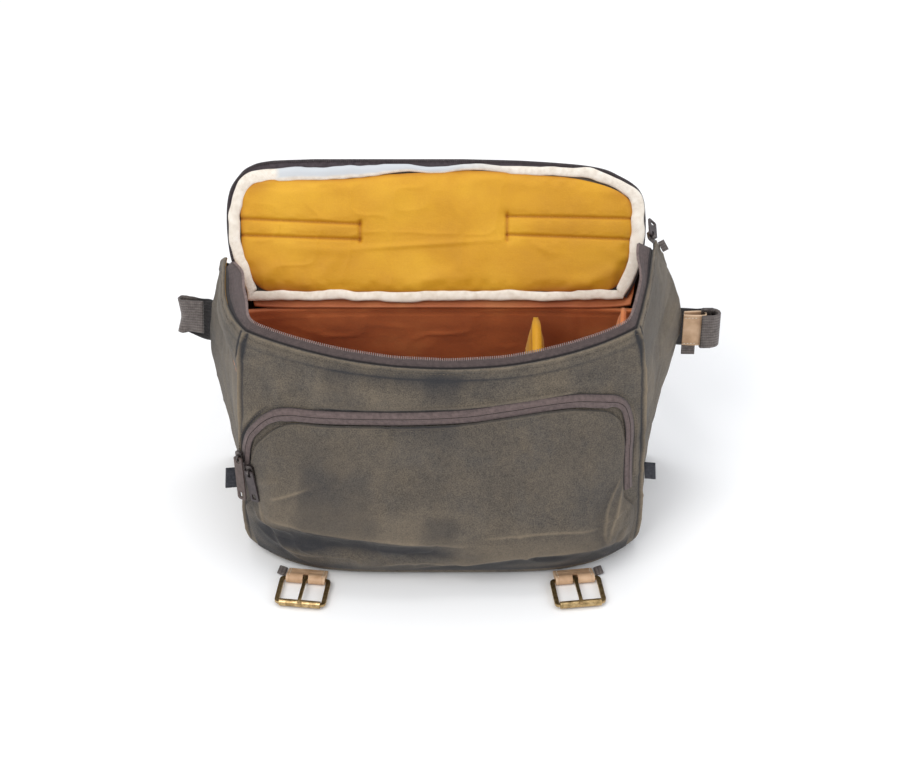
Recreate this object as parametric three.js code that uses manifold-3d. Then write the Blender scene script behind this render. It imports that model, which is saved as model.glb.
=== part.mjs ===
// Camera shoulder bag: waxed canvas, padded yellow lining, zipped lid open.
// Millimetres. +X to the wearer-side right of the front view, +Y to the back, +Z up.
// Origin: centre of the flat base.
import * as THREE from "three";
import { mergeVertices } from "three/addons/utils/BufferGeometryUtils.js";
import Module from "manifold-3d";

const wasm = await Module();
wasm.setup();

// ---------------------------------------------------------------- sizes
const CANVAS = 2.2; // waxed canvas wall with its backing
const PAD = 5; // padded lining wall
const GAP = 0.3; // clearance between sewn neighbours
const BASE_R = 10; // rounding of the base edge
const ZIP_RISE = 7; // free height of the mouth's zip tape above the canvas edge
const ZIP_SEWN = 8; // height of tape sewn behind the canvas edge
const TAPE = 1.2; // zip tape thickness
const WEB_W = 38, WEB_T = 2.2; // strap webbing
const LEATHER = 1.8;

// wall of the bag: a row for each height. frontY middle of the front, seamX/seamY
// front corner seams, wingL/wingR/wingY rear corner seams, backY middle of the back,
// square: how square the front's shoulders are
const SECTIONS = [
  { z: 0, frontY: -97, seamX: 183, seamY: -50, wingL: 205, wingR: 201, wingY: 84, backY: 93, square: 4.6 },
  { z: 40, frontY: -100, seamX: 186, seamY: -56, wingL: 211, wingR: 207, wingY: 85, backY: 95, square: 4.6 },
  { z: 90, frontY: -100, seamX: 185, seamY: -60, wingL: 219, wingR: 215, wingY: 85, backY: 96, square: 4.4 },
  { z: 135, frontY: -99, seamX: 184.5, seamY: -62, wingL: 224, wingR: 224, wingY: 85, backY: 96, square: 4 },
  { z: 165, frontY: -98, seamX: 184, seamY: -62, wingL: 222, wingR: 228, wingY: 85, backY: 96, square: 3.8 },
  { z: 205, frontY: -96, seamX: 182.5, seamY: -62, wingL: 214, wingR: 219, wingY: 84.5, backY: 95, square: 3.4 },
  { z: 240, frontY: -95, seamX: 180, seamY: -63, wingL: 206, wingR: 207, wingY: 83.5, backY: 93, square: 3 },
  { z: 262, frontY: -97, seamX: 174, seamY: -64, wingL: 199, wingR: 201, wingY: 81, backY: 91, square: 2.7 },
  { z: 285, frontY: -98, seamX: 168, seamY: -66, wingL: 194, wingR: 196, wingY: 78, backY: 90, square: 2.6 },
];

// height of the rim (top of the zip tape, or of the wall behind the zip ends)
const RIM_FRONT = [
  { s: -1, z: 268 }, { s: -0.72, z: 263 }, { s: -0.47, z: 257 }, { s: -0.2, z: 251.5 }, { s: 0.04, z: 249.5 },
  { s: 0.3, z: 252 }, { s: 0.55, z: 258 }, { s: 0.8, z: 265 }, { s: 1, z: 272 },
];
const RIM_LEFT = [{ t: 0, z: 268 }, { t: 0.4, z: 265 }, { t: 0.8, z: 259 }, { t: 1, z: 234 }];
const RIM_RIGHT = [{ t: 0, z: 272 }, { t: 0.4, z: 278 }, { t: 0.8, z: 281 }, { t: 1, z: 240 }];
const RIM_BACK = [{ s: -1, z: 234 }, { s: -0.86, z: 222 }, { s: -0.5, z: 220 }, { s: 0, z: 220 }, { s: 0.5, z: 220 }, { s: 0.86, z: 223 }, { s: 1, z: 240 }];
const ZIP_END_T = 0.75; // share of the side wall that the mouth's zip runs along

// lid: a row for each distance d up from the hinge seam; left/right outer edge
const HINGE = { y: 57, z: 206.3 };
const LID_TILT = THREE.MathUtils.degToRad(52);
const LID = [
  { d: 0, left: -183, right: 170 }, { d: 20, left: -191, right: 181 }, { d: 45, left: -199, right: 188 },
  { d: 80, left: -202, right: 190 }, { d: 104, left: -199, right: 184.5 }, { d: 118, left: -190.5, right: 165 },
  { d: 127, left: -179.5, right: 137 }, { d: 132, left: -159, right: 75 }, { d: 133.5, left: -120, right: 20 },
];
const LID_CANVAS = 2, LID_PAD = 6, LID_BIND = 2.6;
// insets from the lid's outer edge, at its sides, its free top edge and its hinge edge
const LID_TAPE_IN = { side: 11, top: 11, foot: 11 };
const BIND_OUT = { side: 3, top: 5, foot: 0.8 }, BIND_IN = { side: 12.5, top: 16, foot: 9 };
const LID_PAD_IN = { side: 12.8, top: 16.3, foot: 9.3 };

// front pocket: v from the base seam up to the arch, left/right edges, top of the arch along s
const POCKET_FOOT = 12;
const POCKET_SIDES = [
  { v: 0, left: -172, right: 171 }, { v: 0.2, left: -180, right: 177 }, { v: 0.45, left: -183, right: 174 },
  { v: 0.62, left: -183, right: 173 }, { v: 0.76, left: -178, right: 173 }, { v: 0.86, left: -168, right: 170 },
  { v: 0.93, left: -158, right: 165 }, { v: 0.98, left: -146, right: 156 }, { v: 1, left: -134, right: 147 },
];
const POCKET_TOP = [
  { s: -1, z: 194 }, { s: -0.6, z: 197 }, { s: -0.2, z: 198 }, { s: 0.1, z: 200.5 }, { s: 0.35, z: 206 },
  { s: 0.62, z: 211 }, { s: 0.82, z: 211 }, { s: 1, z: 205 },
];
const POCKET_BULGE = [
  { v: 0, out: 0 }, { v: 0.08, out: 7 }, { v: 0.22, out: 14 }, { v: 0.42, out: 13 }, { v: 0.7, out: 8 }, { v: 0.92, out: 3 }, { v: 1, out: 1.5 },
];
const POCKET_TAPE_W = 14, POCKET_TAPE_V = 0.47; // both tapes and coil together; where the arch ends

// carrying strap, behind the bag: centre line from the right ring to the left lug
const STRAP = [
  { x: 246.5, y: 76.2, z: 157 }, { x: 252, y: 76.1, z: 157 }, { x: 258.4, y: 76.6, z: 157 }, { x: 262.6, y: 78.8, z: 157 }, { x: 264, y: 82.4, z: 157 },
  { x: 262, y: 86.4, z: 156.6 }, { x: 256, y: 89.8, z: 155 }, { x: 247, y: 94, z: 151 }, { x: 237, y: 103, z: 144 }, { x: 224, y: 122, z: 130 },
  { x: 206, y: 175, z: 104 }, { x: 178, y: 250, z: 74 }, { x: 130, y: 335, z: 45 }, { x: 66, y: 390, z: 25.5 }, { x: 0, y: 408, z: 19.3 },
  { x: -66, y: 390, z: 25.5 }, { x: -130, y: 335, z: 45 }, { x: -178, y: 250, z: 74 }, { x: -204, y: 178, z: 106 }, { x: -222, y: 124, z: 134 },
  { x: -235, y: 106, z: 150 }, { x: -246, y: 99, z: 160 }, { x: -249.8, y: 94.5, z: 165 }, { x: -247.8, y: 90.6, z: 167 }, { x: -240, y: 88.3, z: 168 },
  { x: -228.6, y: 87.2, z: 166 },
];

// buckle tabs at the front of the base
const BUCKLES = [
  { side: "left", x: -126, y: -92, splay: -7 },
  { side: "right", x: 122, y: -92, splay: 7 },
];
const BUCKLE = { outerW: 48, window: 39.6, heelY: -14, frontY: -47, height: 4.6, wire: 2.6, roller: 3.4, bore: 2.25 };

// ---------------------------------------------------------------- helpers
// smooth value of column col at key = x
function at(table, key, x, col) {
  const n = table.length;
  if (x <= table[0][key]) return table[0][col];
  if (x >= table[n - 1][key]) return table[n - 1][col];
  let i = 0;
  while (x > table[i + 1][key]) i++;
  const k = (j) => table[j][key], f = (j) => table[j][col];
  const h = k(i + 1) - k(i), u = (x - k(i)) / h;
  const slope = (j) => (j <= 0 || j >= n - 1 ? (j <= 0 ? (f(1) - f(0)) / (k(1) - k(0)) : (f(n - 1) - f(n - 2)) / (k(n - 1) - k(n - 2))) : (f(j + 1) - f(j - 1)) / (k(j + 1) - k(j - 1)));
  const m0 = slope(i) * h, m1 = slope(i + 1) * h, u2 = u * u, u3 = u2 * u;
  return (2 * u3 - 3 * u2 + 1) * f(i) + (u3 - 2 * u2 + u) * m0 + (3 * u2 - 2 * u3) * f(i + 1) + (u3 - u2) * m1;
}
const wall = (z, col) => at(SECTIONS, "z", z, col);
const mix = (a, b, t) => a + (b - a) * t;

function geometry(points, faces) {
  const g = new THREE.BufferGeometry();
  g.setAttribute("position", new THREE.Float32BufferAttribute(points.flat(), 3));
  g.setIndex(faces.flat());
  let volume = 0;
  for (const [a, b, c] of faces) {
    const A = points[a], B = points[b], C = points[c];
    volume += A[0] * (B[1] * C[2] - B[2] * C[1]) - A[1] * (B[0] * C[2] - B[2] * C[0]) + A[2] * (B[0] * C[1] - B[1] * C[0]);
  }
  if (volume < 0) g.setIndex(faces.map(([a, b, c]) => [a, c, b]).flat());
  g.computeVertexNormals();
  return g;
}

const group = new THREE.Group();
function piece(name, geo, color, roughness, metalness = 0) {
  const mesh = new THREE.Mesh(geo, new THREE.MeshStandardMaterial({ color, roughness, metalness }));
  mesh.name = name;
  group.add(mesh);
  return mesh;
}
function place(mesh, origin, x, y, z) {
  const m = new THREE.Matrix4().makeBasis(new THREE.Vector3(...x).normalize(), new THREE.Vector3(...y).normalize(), new THREE.Vector3(...z).normalize());
  mesh.quaternion.setFromRotationMatrix(m);
  mesh.position.set(...origin);
}

// stack of closed rings, capped at both ends
function lofted(rings) {
  const n = rings[0].length, points = rings.flat(), faces = [];
  for (let r = 0; r + 1 < rings.length; r++)
    for (let i = 0; i < n; i++) {
      const a = r * n + i, b = r * n + ((i + 1) % n), c = a + n, d = b + n;
      faces.push([a, b, d], [a, d, c]);
    }
  for (const [r, flip] of [[0, true], [rings.length - 1, false]]) {
    const centre = rings[r].reduce((s, p) => [s[0] + p[0] / n, s[1] + p[1] / n, s[2] + p[2] / n], [0, 0, 0]);
    points.push(centre);
    for (let i = 0; i < n; i++) {
      const a = r * n + i, b = r * n + ((i + 1) % n);
      faces.push(flip ? [b, a, points.length - 1] : [a, b, points.length - 1]);
    }
  }
  return geometry(points, faces);
}
// the same stack closed on itself, a tube around a ring
function hoop(rings) {
  const n = rings[0].length, m = rings.length, points = rings.flat(), faces = [];
  for (let r = 0; r < m; r++)
    for (let i = 0; i < n; i++) {
      const q = (r + 1) % m, a = r * n + i, b = r * n + ((i + 1) % n), c = q * n + i, d = q * n + ((i + 1) % n);
      faces.push([a, b, d], [a, d, c]);
    }
  return geometry(points, faces);
}
// sheet with thickness: grid of top points and of bottom points
function sheet(cols, rows, top, bottom) {
  const points = [], faces = [], w = cols + 1, id = (k, i, j) => k * w * (rows + 1) + j * w + i;
  for (const f of [top, bottom]) for (let j = 0; j <= rows; j++) for (let i = 0; i <= cols; i++) points.push(f(i / cols, j / rows));
  const quad = (a, b, c, d) => faces.push([a, b, c], [a, c, d]);
  for (let j = 0; j < rows; j++)
    for (let i = 0; i < cols; i++) {
      quad(id(0, i, j), id(0, i + 1, j), id(0, i + 1, j + 1), id(0, i, j + 1));
      quad(id(1, i, j), id(1, i, j + 1), id(1, i + 1, j + 1), id(1, i + 1, j));
    }
  for (let i = 0; i < cols; i++) {
    quad(id(0, i + 1, 0), id(0, i, 0), id(1, i, 0), id(1, i + 1, 0));
    quad(id(0, i, rows), id(0, i + 1, rows), id(1, i + 1, rows), id(1, i, rows));
  }
  for (let j = 0; j < rows; j++) {
    quad(id(0, 0, j), id(0, 0, j + 1), id(1, 0, j + 1), id(1, 0, j));
    quad(id(0, cols, j + 1), id(0, cols, j), id(1, cols, j), id(1, cols, j + 1));
  }
  return geometry(points, faces);
}
// flat band along a path: width along axis(i), thickness across it
function band(path, width, thick, axis) {
  const v = path.map((p) => new THREE.Vector3(...p));
  const rings = v.map((p, i) => {
    const t = v[Math.min(i + 1, v.length - 1)].clone().sub(v[Math.max(i - 1, 0)]).normalize();
    const w = new THREE.Vector3(...axis(i / (v.length - 1), t));
    w.addScaledVector(t, -w.dot(t)).normalize();
    const n = new THREE.Vector3().crossVectors(w, t);
    return [[-1, -1], [1, -1], [1, 1], [-1, 1]].map(([a, b]) => p.clone().addScaledVector(w, (a * width) / 2).addScaledVector(n, (b * thick) / 2).toArray());
  });
  return lofted(rings);
}
const curve = (points, n) => new THREE.CatmullRomCurve3(points.map((p) => new THREE.Vector3(...p)), false, "centripetal").getSpacedPoints(n).map((p) => p.toArray());

const toSolid = (geo) => {
  const g = geo.clone();
  g.deleteAttribute("normal");
  g.deleteAttribute("uv");
  const m = mergeVertices(g, 1e-4);
  return new wasm.Manifold(new wasm.Mesh({ numProp: 3, vertProperties: new Float32Array(m.attributes.position.array), triVerts: new Uint32Array(m.index.array) }));
};
const fromSolid = (solid) => {
  const m = solid.getMesh(), g = new THREE.BufferGeometry();
  g.setAttribute("position", new THREE.Float32BufferAttribute(Array.from(m.vertProperties), 3));
  g.setIndex(Array.from(m.triVerts));
  g.computeVertexNormals();
  return g;
};
const roundedRect = (w, h, r, into = new THREE.Shape()) => {
  const x = w / 2, y = h / 2;
  into.moveTo(-x + r, -y).lineTo(x - r, -y).absarc(x - r, -y + r, r, -Math.PI / 2, 0).lineTo(x, y - r).absarc(x - r, y - r, r, 0, Math.PI / 2);
  into.lineTo(-x + r, y).absarc(-x + r, y - r, r, Math.PI / 2, Math.PI).lineTo(-x, -y + r).absarc(-x + r, -y + r, r, Math.PI, 1.5 * Math.PI);
  return into;
};

// outline as plain points, none repeated, so that an extrusion of it closes
function outline(shape, segments) {
  const tidy = (path) => {
    const p = path.getPoints(segments);
    return p.filter((q, i) => q.distanceTo(p[(i + 1) % p.length]) > 1e-3);
  };
  const s = new THREE.Shape(tidy(shape));
  s.holes = shape.holes.map((h) => new THREE.Path(tidy(h)));
  return s;
}
const extruded = (shape, depth, segments) => new THREE.ExtrudeGeometry(outline(shape, segments), { depth, bevelEnabled: false });

// ---------------------------------------------------------------- wall of the bag
// stations around the wall: span (front, right, back, left) and share t along it
function stations(front, side, back) {
  const s = [];
  for (let i = 0; i < front; i++) s.push({ span: "front", t: i / front });
  for (let i = 0; i < side; i++) s.push({ span: "right", t: i / side });
  for (let i = 0; i < back; i++) s.push({ span: "back", t: i / back });
  for (let i = 0; i < side; i++) s.push({ span: "left", t: i / side });
  return s;
}
// spread of a side from its front seam to its rear seam; near the rim it spreads sooner
const flare = (t, z, power) => mix(0.62 * t + 0.38 * t ** 3, 1 - (1 - t) ** power, THREE.MathUtils.smoothstep(z, 190, 244));
function plan({ span, t }, z) {
  const seamX = wall(z, "seamX"), seamY = wall(z, "seamY"), wingY = wall(z, "wingY");
  if (span === "front") {
    const s = 2 * t - 1;
    return [s * seamX, wall(z, "frontY") + (seamY - wall(z, "frontY")) * Math.abs(s) ** wall(z, "square")];
  }
  if (span === "right") return [mix(seamX, wall(z, "wingR"), flare(t, z, 1.5)), mix(seamY, wingY, t)];
  if (span === "left") return [-mix(seamX, wall(z, "wingL"), flare(1 - t, z, 4)), mix(seamY, wingY, 1 - t)];
  const s = 1 - 2 * t;
  return [s * wall(z, s > 0 ? "wingR" : "wingL"), wingY + (wall(z, "backY") - wingY) * (1 - s ** 4)];
}
function rimHeight({ span, t }) {
  if (span === "front") return at(RIM_FRONT, "s", 2 * t - 1, "z");
  if (span === "right") return at(RIM_RIGHT, "t", t, "z");
  if (span === "left") return at(RIM_LEFT, "t", 1 - t, "z");
  return at(RIM_BACK, "s", 1 - 2 * t, "z");
}
// share of the zip tape's free height left out of the canvas at a station
function zipShare({ span, t }) {
  if (span === "front") return 1;
  if (span === "back") return 0;
  const u = span === "right" ? t : 1 - t;
  return THREE.MathUtils.clamp((ZIP_END_T + 0.06 - u) / 0.06, 0, 1);
}
// ring of the wall moved outwards by out, at the height that level gives for each station
function wallRing(list, level, out, shift = () => [0, 0]) {
  const z = list.map(level), base = list.map((s, i) => plan(s, z[i]));
  return list.map((s, i) => {
    const a = plan(list[(i + list.length - 1) % list.length], z[i]), b = plan(list[(i + 1) % list.length], z[i]);
    const tx = b[0] - a[0], ty = b[1] - a[1], l = Math.hypot(tx, ty), m = shift(s, z[i]);
    return [base[i][0] + (ty / l) * out + m[0], base[i][1] - (tx / l) * out + m[1], z[i]];
  });
}
const foot = (z) => -BASE_R * (1 - Math.sqrt(Math.max(0, 1 - (1 - Math.min(z, BASE_R) / BASE_R) ** 2)));

const around = stations(22, 8, 14);
const topOf = (s) => rimHeight(s) - ZIP_RISE * zipShare(s);
// top of the padded lining, below the zip tape, and behind the zip ends below the hinge seam
const LINING_BACK_TOP = 199;
const linedTop = (s) => {
  const zipped = rimHeight(s) - ZIP_RISE - ZIP_SEWN - 2;
  if (s.span === "front") return zipped;
  if (s.span === "back") return LINING_BACK_TOP;
  const u = s.span === "right" ? s.t : 1 - s.t;
  return mix(zipped, LINING_BACK_TOP, THREE.MathUtils.smoothstep(u, 0.62, 1));
};
const LEVELS = [50, 100, 150, 185].map((z) => () => z);
const shell = [0, 3].map((z) => wallRing(around, () => z, foot(Math.max(z, 0.6))));
const shoulder = (s) => mix(185, linedTop(s), 0.5), hem = (s) => (linedTop(s) + topOf(s)) / 2;
for (const level of [() => BASE_R, ...LEVELS, shoulder, linedTop, hem, topOf]) shell.push(wallRing(around, level, 0));
for (const level of [topOf, hem, linedTop, shoulder, ...[...LEVELS].reverse(), () => 14]) shell.push(wallRing(around, level, -CANVAS));
shell.push(wallRing(around, () => CANVAS, -CANVAS - 3));
piece("body_shell", lofted(shell), 0x70665a, 0.85);

// padded lining, open at the top; its back leans in to the lid's hinge seam
const leanIn = (s, z) => {
  const k = THREE.MathUtils.smoothstep(z, 70, LINING_BACK_TOP + 10) * 31;
  if (s.span === "back") return [-0.55 * k * (1 - 2 * s.t) ** 5, -k];
  if (s.span === "front") return [0, 0];
  const u = s.span === "right" ? s.t : 1 - s.t;
  return [(s.span === "right" ? -1 : 1) * k * 0.55 * u ** 3, -k * u ** 3];
};
const LIN_OUT = -CANVAS - GAP - 0.75, LIN_IN = LIN_OUT - PAD, LIN_FLOOR = CANVAS + GAP;
const lining = [wallRing(around, () => LIN_FLOOR, LIN_OUT - 5)];
for (const level of [() => 16, ...LEVELS, shoulder, linedTop]) lining.push(wallRing(around, level, LIN_OUT, leanIn));
for (const level of [linedTop, shoulder, () => 150, () => 85, () => 22]) lining.push(wallRing(around, level, LIN_IN, leanIn));
lining.push(wallRing(around, () => LIN_FLOOR + PAD, LIN_IN - 5));
piece("lining_shell", lofted(lining), 0xb9782f, 0.8);

// zip tape of the mouth: sewn behind the canvas edge, free part leaning inwards
const tapeLevel = (rise) => (s) => rimHeight(s) - rise;
const IN = -CANVAS - GAP - 0.15;
// along the sides the free part falls further inwards
const fall = (s) => {
  const step = THREE.MathUtils.smoothstep;
  if (s.span === "left") return [10 * step(1 - s.t, 0, 0.3) * (1 - step(1 - s.t, 0.6, 0.76)), 0];
  if (s.span === "right") return [-8 * step(s.t, 0.42, 0.66), 0];
  return [0, 0];
};
const tapeProfile = [[ZIP_RISE + ZIP_SEWN, IN], [ZIP_RISE, IN], [0, IN - 3.5], [0, IN - 3.5 - TAPE], [ZIP_RISE, IN - TAPE], [ZIP_RISE + ZIP_SEWN, IN - TAPE]].map(([rise, out]) => wallRing(around, tapeLevel(rise), out, rise === 0 ? fall : undefined));
const zipped = around.map((s, i) => i).filter((i) => zipShare(around[i]) === 1);
const leftStart = zipped.findIndex((i) => around[i].span === "left");
const mouth = [...zipped.slice(leftStart), ...zipped.slice(0, leftStart)];
piece("mouth_zip_tape", lofted(mouth.map((i) => tapeProfile.map((ring) => ring[i]))), 0x7d6c69, 0.7);

// ---------------------------------------------------------------- lid
const lidPoint = (x, d, n) => [x, HINGE.y + d * Math.cos(LID_TILT) - n * Math.sin(LID_TILT), HINGE.z + d * Math.sin(LID_TILT) + n * Math.cos(LID_TILT)];
const LID_TOP = LID[LID.length - 1].d;
const lidEdge = [];
const climb = [0, 14, 34, 56, 80, 100, 113, 122, 128, 132, 133.5];
for (const d of climb) lidEdge.push([at(LID, "d", d, "right"), d]);
for (let i = 1; i < 9; i++) lidEdge.push([mix(LID[LID.length - 1].right, LID[LID.length - 1].left, i / 9), LID_TOP]);
for (const d of [...climb].reverse()) lidEdge.push([at(LID, "d", d, "left"), d]);
for (let i = 1; i < 9; i++) lidEdge.push([mix(LID[0].left, LID[0].right, i / 9), 0]);
// the lid's outline moved inwards
function inset({ side, top, foot: low }) {
  const n = lidEdge.length;
  return lidEdge.map(([x, d], i) => {
    if (i === 0 || i === climb.length * 2 + 7) return [x - Math.sign(x) * side, d + low];
    const a = lidEdge[(i + n - 1) % n], b = lidEdge[(i + 1) % n], tx = b[0] - a[0], td = b[1] - a[1], l = Math.hypot(tx, td);
    const k = side * (td / l) ** 2 + (tx < 0 ? top : low) * (tx / l) ** 2;
    return [x - (td / l) * k, d + (tx / l) * k];
  });
}
const evenly = (k) => ({ side: k, top: k, foot: k });
const lidRing = (k, n, shrink = 1) => {
  const loop = inset(k), c = [-4, 66];
  return loop.map(([x, d]) => lidPoint(mix(c[0], x, shrink), mix(c[1], d, shrink), n));
};
const CANVAS_IN = { side: 7, top: 4, foot: 5 };
piece("lid_canvas", lofted([lidRing(CANVAS_IN, 0), lidRing(CANVAS_IN, -LID_CANVAS)]), 0x70665a, 0.85);
const BIND_FOOT = 2 * GAP + TAPE; // the binding lies on the zip tape
const bind = [[BIND_OUT, BIND_FOOT], [BIND_OUT, BIND_FOOT + LID_BIND], [BIND_IN, BIND_FOOT + LID_BIND], [BIND_IN, BIND_FOOT]];
piece("lid_binding", hoop(bind.map(([k, n]) => lidRing(k, n))), 0xe2dacd, 0.9);
const deeper = (t, k) => ({ side: t.side + k, top: t.top + k, foot: t.foot + k });
piece("lid_lining", lofted([lidRing(LID_PAD_IN, GAP), lidRing(LID_PAD_IN, GAP + 2.6), lidRing(deeper(LID_PAD_IN, 5), GAP + LID_PAD - 1), lidRing(LID_PAD_IN, GAP + LID_PAD, 0.6)]), 0xdea830, 0.75);
// dark zip tape round the lid's free edges, past the canvas edge
const freeEdge = climb.length * 2 + 8; // stations from the right hinge corner round to the left one
const tapeLoop = [evenly(0), LID_TAPE_IN].map(inset);
const tapeRings = [];
for (let i = 1; i < freeEdge - 1; i++)
  tapeRings.push([lidPoint(...tapeLoop[0][i], GAP), lidPoint(...tapeLoop[0][i], GAP + TAPE), lidPoint(...tapeLoop[1][i], GAP + TAPE), lidPoint(...tapeLoop[1][i], GAP)]);
piece("lid_zip_tape", lofted(tapeRings), 0x463c41, 0.7);

// canvas folded down from the top of the back wall to the hinge seam
const FOLD = [{ t: 0, y: 90, drop: 0 }, { t: 0.3, y: 81, drop: 1.5 }, { t: 0.65, y: 67, drop: 14.4 }, { t: 1, y: 54.5, drop: 19.4 }];
const foldPoint = (u, v, under) => {
  const s = 1 - 2 * u, x = s * 184 * mix(1, 0.955, v), rear = (90 - at(FOLD, "t", v, "y")) / 35.5;
  return [x, at(FOLD, "t", v, "y") - 6 * s ** 4 * (1 - rear) - under * 0.5, at(RIM_BACK, "s", s * 0.86, "z") + 2.6 - at(FOLD, "t", v, "drop") - under * 0.87];
};
piece("hinge_fold", sheet(12, 5, (u, v) => foldPoint(u, v, 0), (u, v) => foldPoint(u, v, 2)), 0xb9782f, 0.8);

// ---------------------------------------------------------------- dividers
// upright pad across the bag from front to back: a row for each station
function divider(name, rows, thick, bow, color) {
  piece(name, sheet(8, 6,
    (u, v) => dividerPoint(rows, u, v, thick, bow, 1), (u, v) => dividerPoint(rows, u, v, thick, bow, -1)), color, 0.8);
}
function dividerPoint(rows, u, v, thick, bow, side) {
  const y = at(rows, "u", u, "y"), top = at(rows, "u", u, "top"), x = at(rows, "u", u, "x");
  const soft = Math.sqrt(Math.max(0.2, 1 - Math.max(0, (v - 0.8) / 0.2) ** 2)) * Math.sqrt(Math.max(0.3, 1 - Math.abs(2 * u - 1) ** 6));
  return [x + bow * v * v + (side * thick * soft) / 2, y, mix(LIN_FLOOR + PAD + GAP, top, v)];
}
divider("divider_middle", [{ u: 0, x: 84, y: -82, top: 168 }, { u: 0.35, x: 84, y: -40, top: 178 }, { u: 0.75, x: 84, y: 14, top: 202 }, { u: 1, x: 84, y: 44, top: 198 }], 19, 3, 0xdea830);
divider("divider_side", [{ u: 0, x: 146, y: -54, top: 204 }, { u: 0.4, x: 149, y: -20, top: 224 }, { u: 0.75, x: 152, y: 12, top: 228 }, { u: 1, x: 154, y: 40, top: 212 }], 11, 14, 0xb9782f);

// ---------------------------------------------------------------- front pocket
function frontPoint(x, z, out) {
  const sx = wall(z, "seamX"), fy = wall(z, "frontY"), sy = wall(z, "seamY"), p = wall(z, "square");
  const s = THREE.MathUtils.clamp(x / sx, -1, 1), slope = ((sy - fy) * p * Math.abs(s) ** (p - 1) * Math.sign(s)) / sx, l = Math.hypot(slope, 1);
  return [x + (slope / l) * out, fy + (sy - fy) * Math.abs(s) ** p - out / l, z];
}
const bulge = (s, v) => at(POCKET_BULGE, "v", v, "out") * (1 - Math.abs(s) ** 5);
// s, v on the whole pocket to a place on the front wall
function pocketXZ(s, v) {
  return [mix(at(POCKET_SIDES, "v", v, "left"), at(POCKET_SIDES, "v", v, "right"), (s + 1) / 2), mix(POCKET_FOOT, at(POCKET_TOP, "s", s, "z"), v)];
}
const pocketPoint = (s, v, out) => frontPoint(...pocketXZ(s, v), GAP + out + bulge(s, v));
// outline of the arch, from the left end over the top to the right end, and inwards from it
const archStations = [];
for (let i = 0; i <= 10; i++) archStations.push([-1, mix(POCKET_TAPE_V, 1, i / 10)]);
for (let i = 1; i < 16; i++) archStations.push([mix(-1, 1, i / 16), 1]);
for (let i = 0; i <= 10; i++) archStations.push([1, mix(1, POCKET_TAPE_V - 0.07, i / 10)]);
const archEdge = archStations.map(([s, v]) => pocketXZ(s, v));
const archNormal = archEdge.map((p, i) => {
  const a = archEdge[Math.max(0, i - 1)], b = archEdge[Math.min(archEdge.length - 1, i + 1)], l = Math.hypot(b[0] - a[0], b[1] - a[1]);
  return [(b[1] - a[1]) / l, -(b[0] - a[0]) / l];
});
const archAt = (i, k) => [archEdge[i][0] + archNormal[i][0] * k, archEdge[i][1] + archNormal[i][1] * k];
const archRings = archEdge.map((p, i) => [[0, GAP], [0, GAP + 1.6], [POCKET_TAPE_W / 2, GAP + 3.2], [POCKET_TAPE_W, GAP + 2.4], [POCKET_TAPE_W, GAP]].map(([k, o]) => frontPoint(...archAt(i, k), o + 0.6)));
piece("pocket_zip_tape", lofted(archRings), 0x7d6c69, 0.7);
// the panel inside the arch: same shape drawn in from the tape
const PANEL_SIDES = POCKET_SIDES.map(({ v, left, right }) => {
  const k = (POCKET_TAPE_W + 1.2) * THREE.MathUtils.smoothstep(v, POCKET_TAPE_V - 0.2, POCKET_TAPE_V - 0.06);
  return { v, left: left + k, right: right - k };
});
const panelPoint = (s, v, out) => {
  const x = mix(at(PANEL_SIDES, "v", v, "left"), at(PANEL_SIDES, "v", v, "right"), (s + 1) / 2);
  const z = mix(POCKET_FOOT, at(POCKET_TOP, "s", s, "z") - POCKET_TAPE_W - 2.2, v);
  return frontPoint(x, z, GAP + 0.6 + out + bulge(s, v));
};
piece("pocket_panel", sheet(20, 10, (u, v) => panelPoint(2 * u - 1, v, CANVAS), (u, v) => panelPoint(2 * u - 1, v, 0)), 0x70665a, 0.85);

// ---------------------------------------------------------------- zip sliders and pulls
const SLIDER = { long: 12, wide: 8, thick: 2.6, lift: 1.2, inner: 1.5, outer: 2.7, bail: 2.6 };
const PULL = { wide: 10, long: 46, thick: 1.6, bar: 0.8, hole: 4.6 };
// slider lying in its own XY plane, mouth to -Y; the pull's bar runs along X at height thick + lift
const sliderGeo = (() => {
  const body = extruded(roundedRect(SLIDER.wide, SLIDER.long, 2.2), SLIDER.thick, 2);
  const arch = new THREE.Shape();
  arch.moveTo(SLIDER.outer, -SLIDER.lift - 0.5).lineTo(SLIDER.outer, 0).absarc(0, 0, SLIDER.outer, 0, Math.PI).lineTo(-SLIDER.outer, -SLIDER.lift - 0.5);
  arch.lineTo(-SLIDER.inner, -SLIDER.lift - 0.5).lineTo(-SLIDER.inner, 0).absarc(0, 0, SLIDER.inner, Math.PI, 0, true).lineTo(SLIDER.inner, -SLIDER.lift - 0.5);
  const m = new THREE.Matrix4().makeBasis(new THREE.Vector3(0, 1, 0), new THREE.Vector3(0, 0, 1), new THREE.Vector3(1, 0, 0));
  const upright = extruded(arch, SLIDER.bail, 8).applyMatrix4(m).translate(-SLIDER.bail / 2, 0, SLIDER.thick + SLIDER.lift);
  return fromSolid(toSolid(body).add(toSolid(upright)));
})();
// pull with its bar on the X axis, hanging to -Y
function pullGeo(long) {
  const s = roundedRect(PULL.wide, long, 2.4), w = new THREE.Path(), h = new THREE.Path();
  const top = long / 2 - 2 * PULL.bar;
  h.moveTo(-1.75, top).lineTo(1.75, top).lineTo(1.75, top - PULL.hole).lineTo(-1.75, top - PULL.hole);
  w.moveTo(-2.3, 2.5 - long / 2).lineTo(-2.3, 8 - long / 2).lineTo(2.3, 8 - long / 2).lineTo(2.3, 2.5 - long / 2);
  s.holes.push(h, w);
  return extruded(s, PULL.thick, 3).translate(0, -long / 2 + PULL.bar, -PULL.thick / 2);
}
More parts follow.
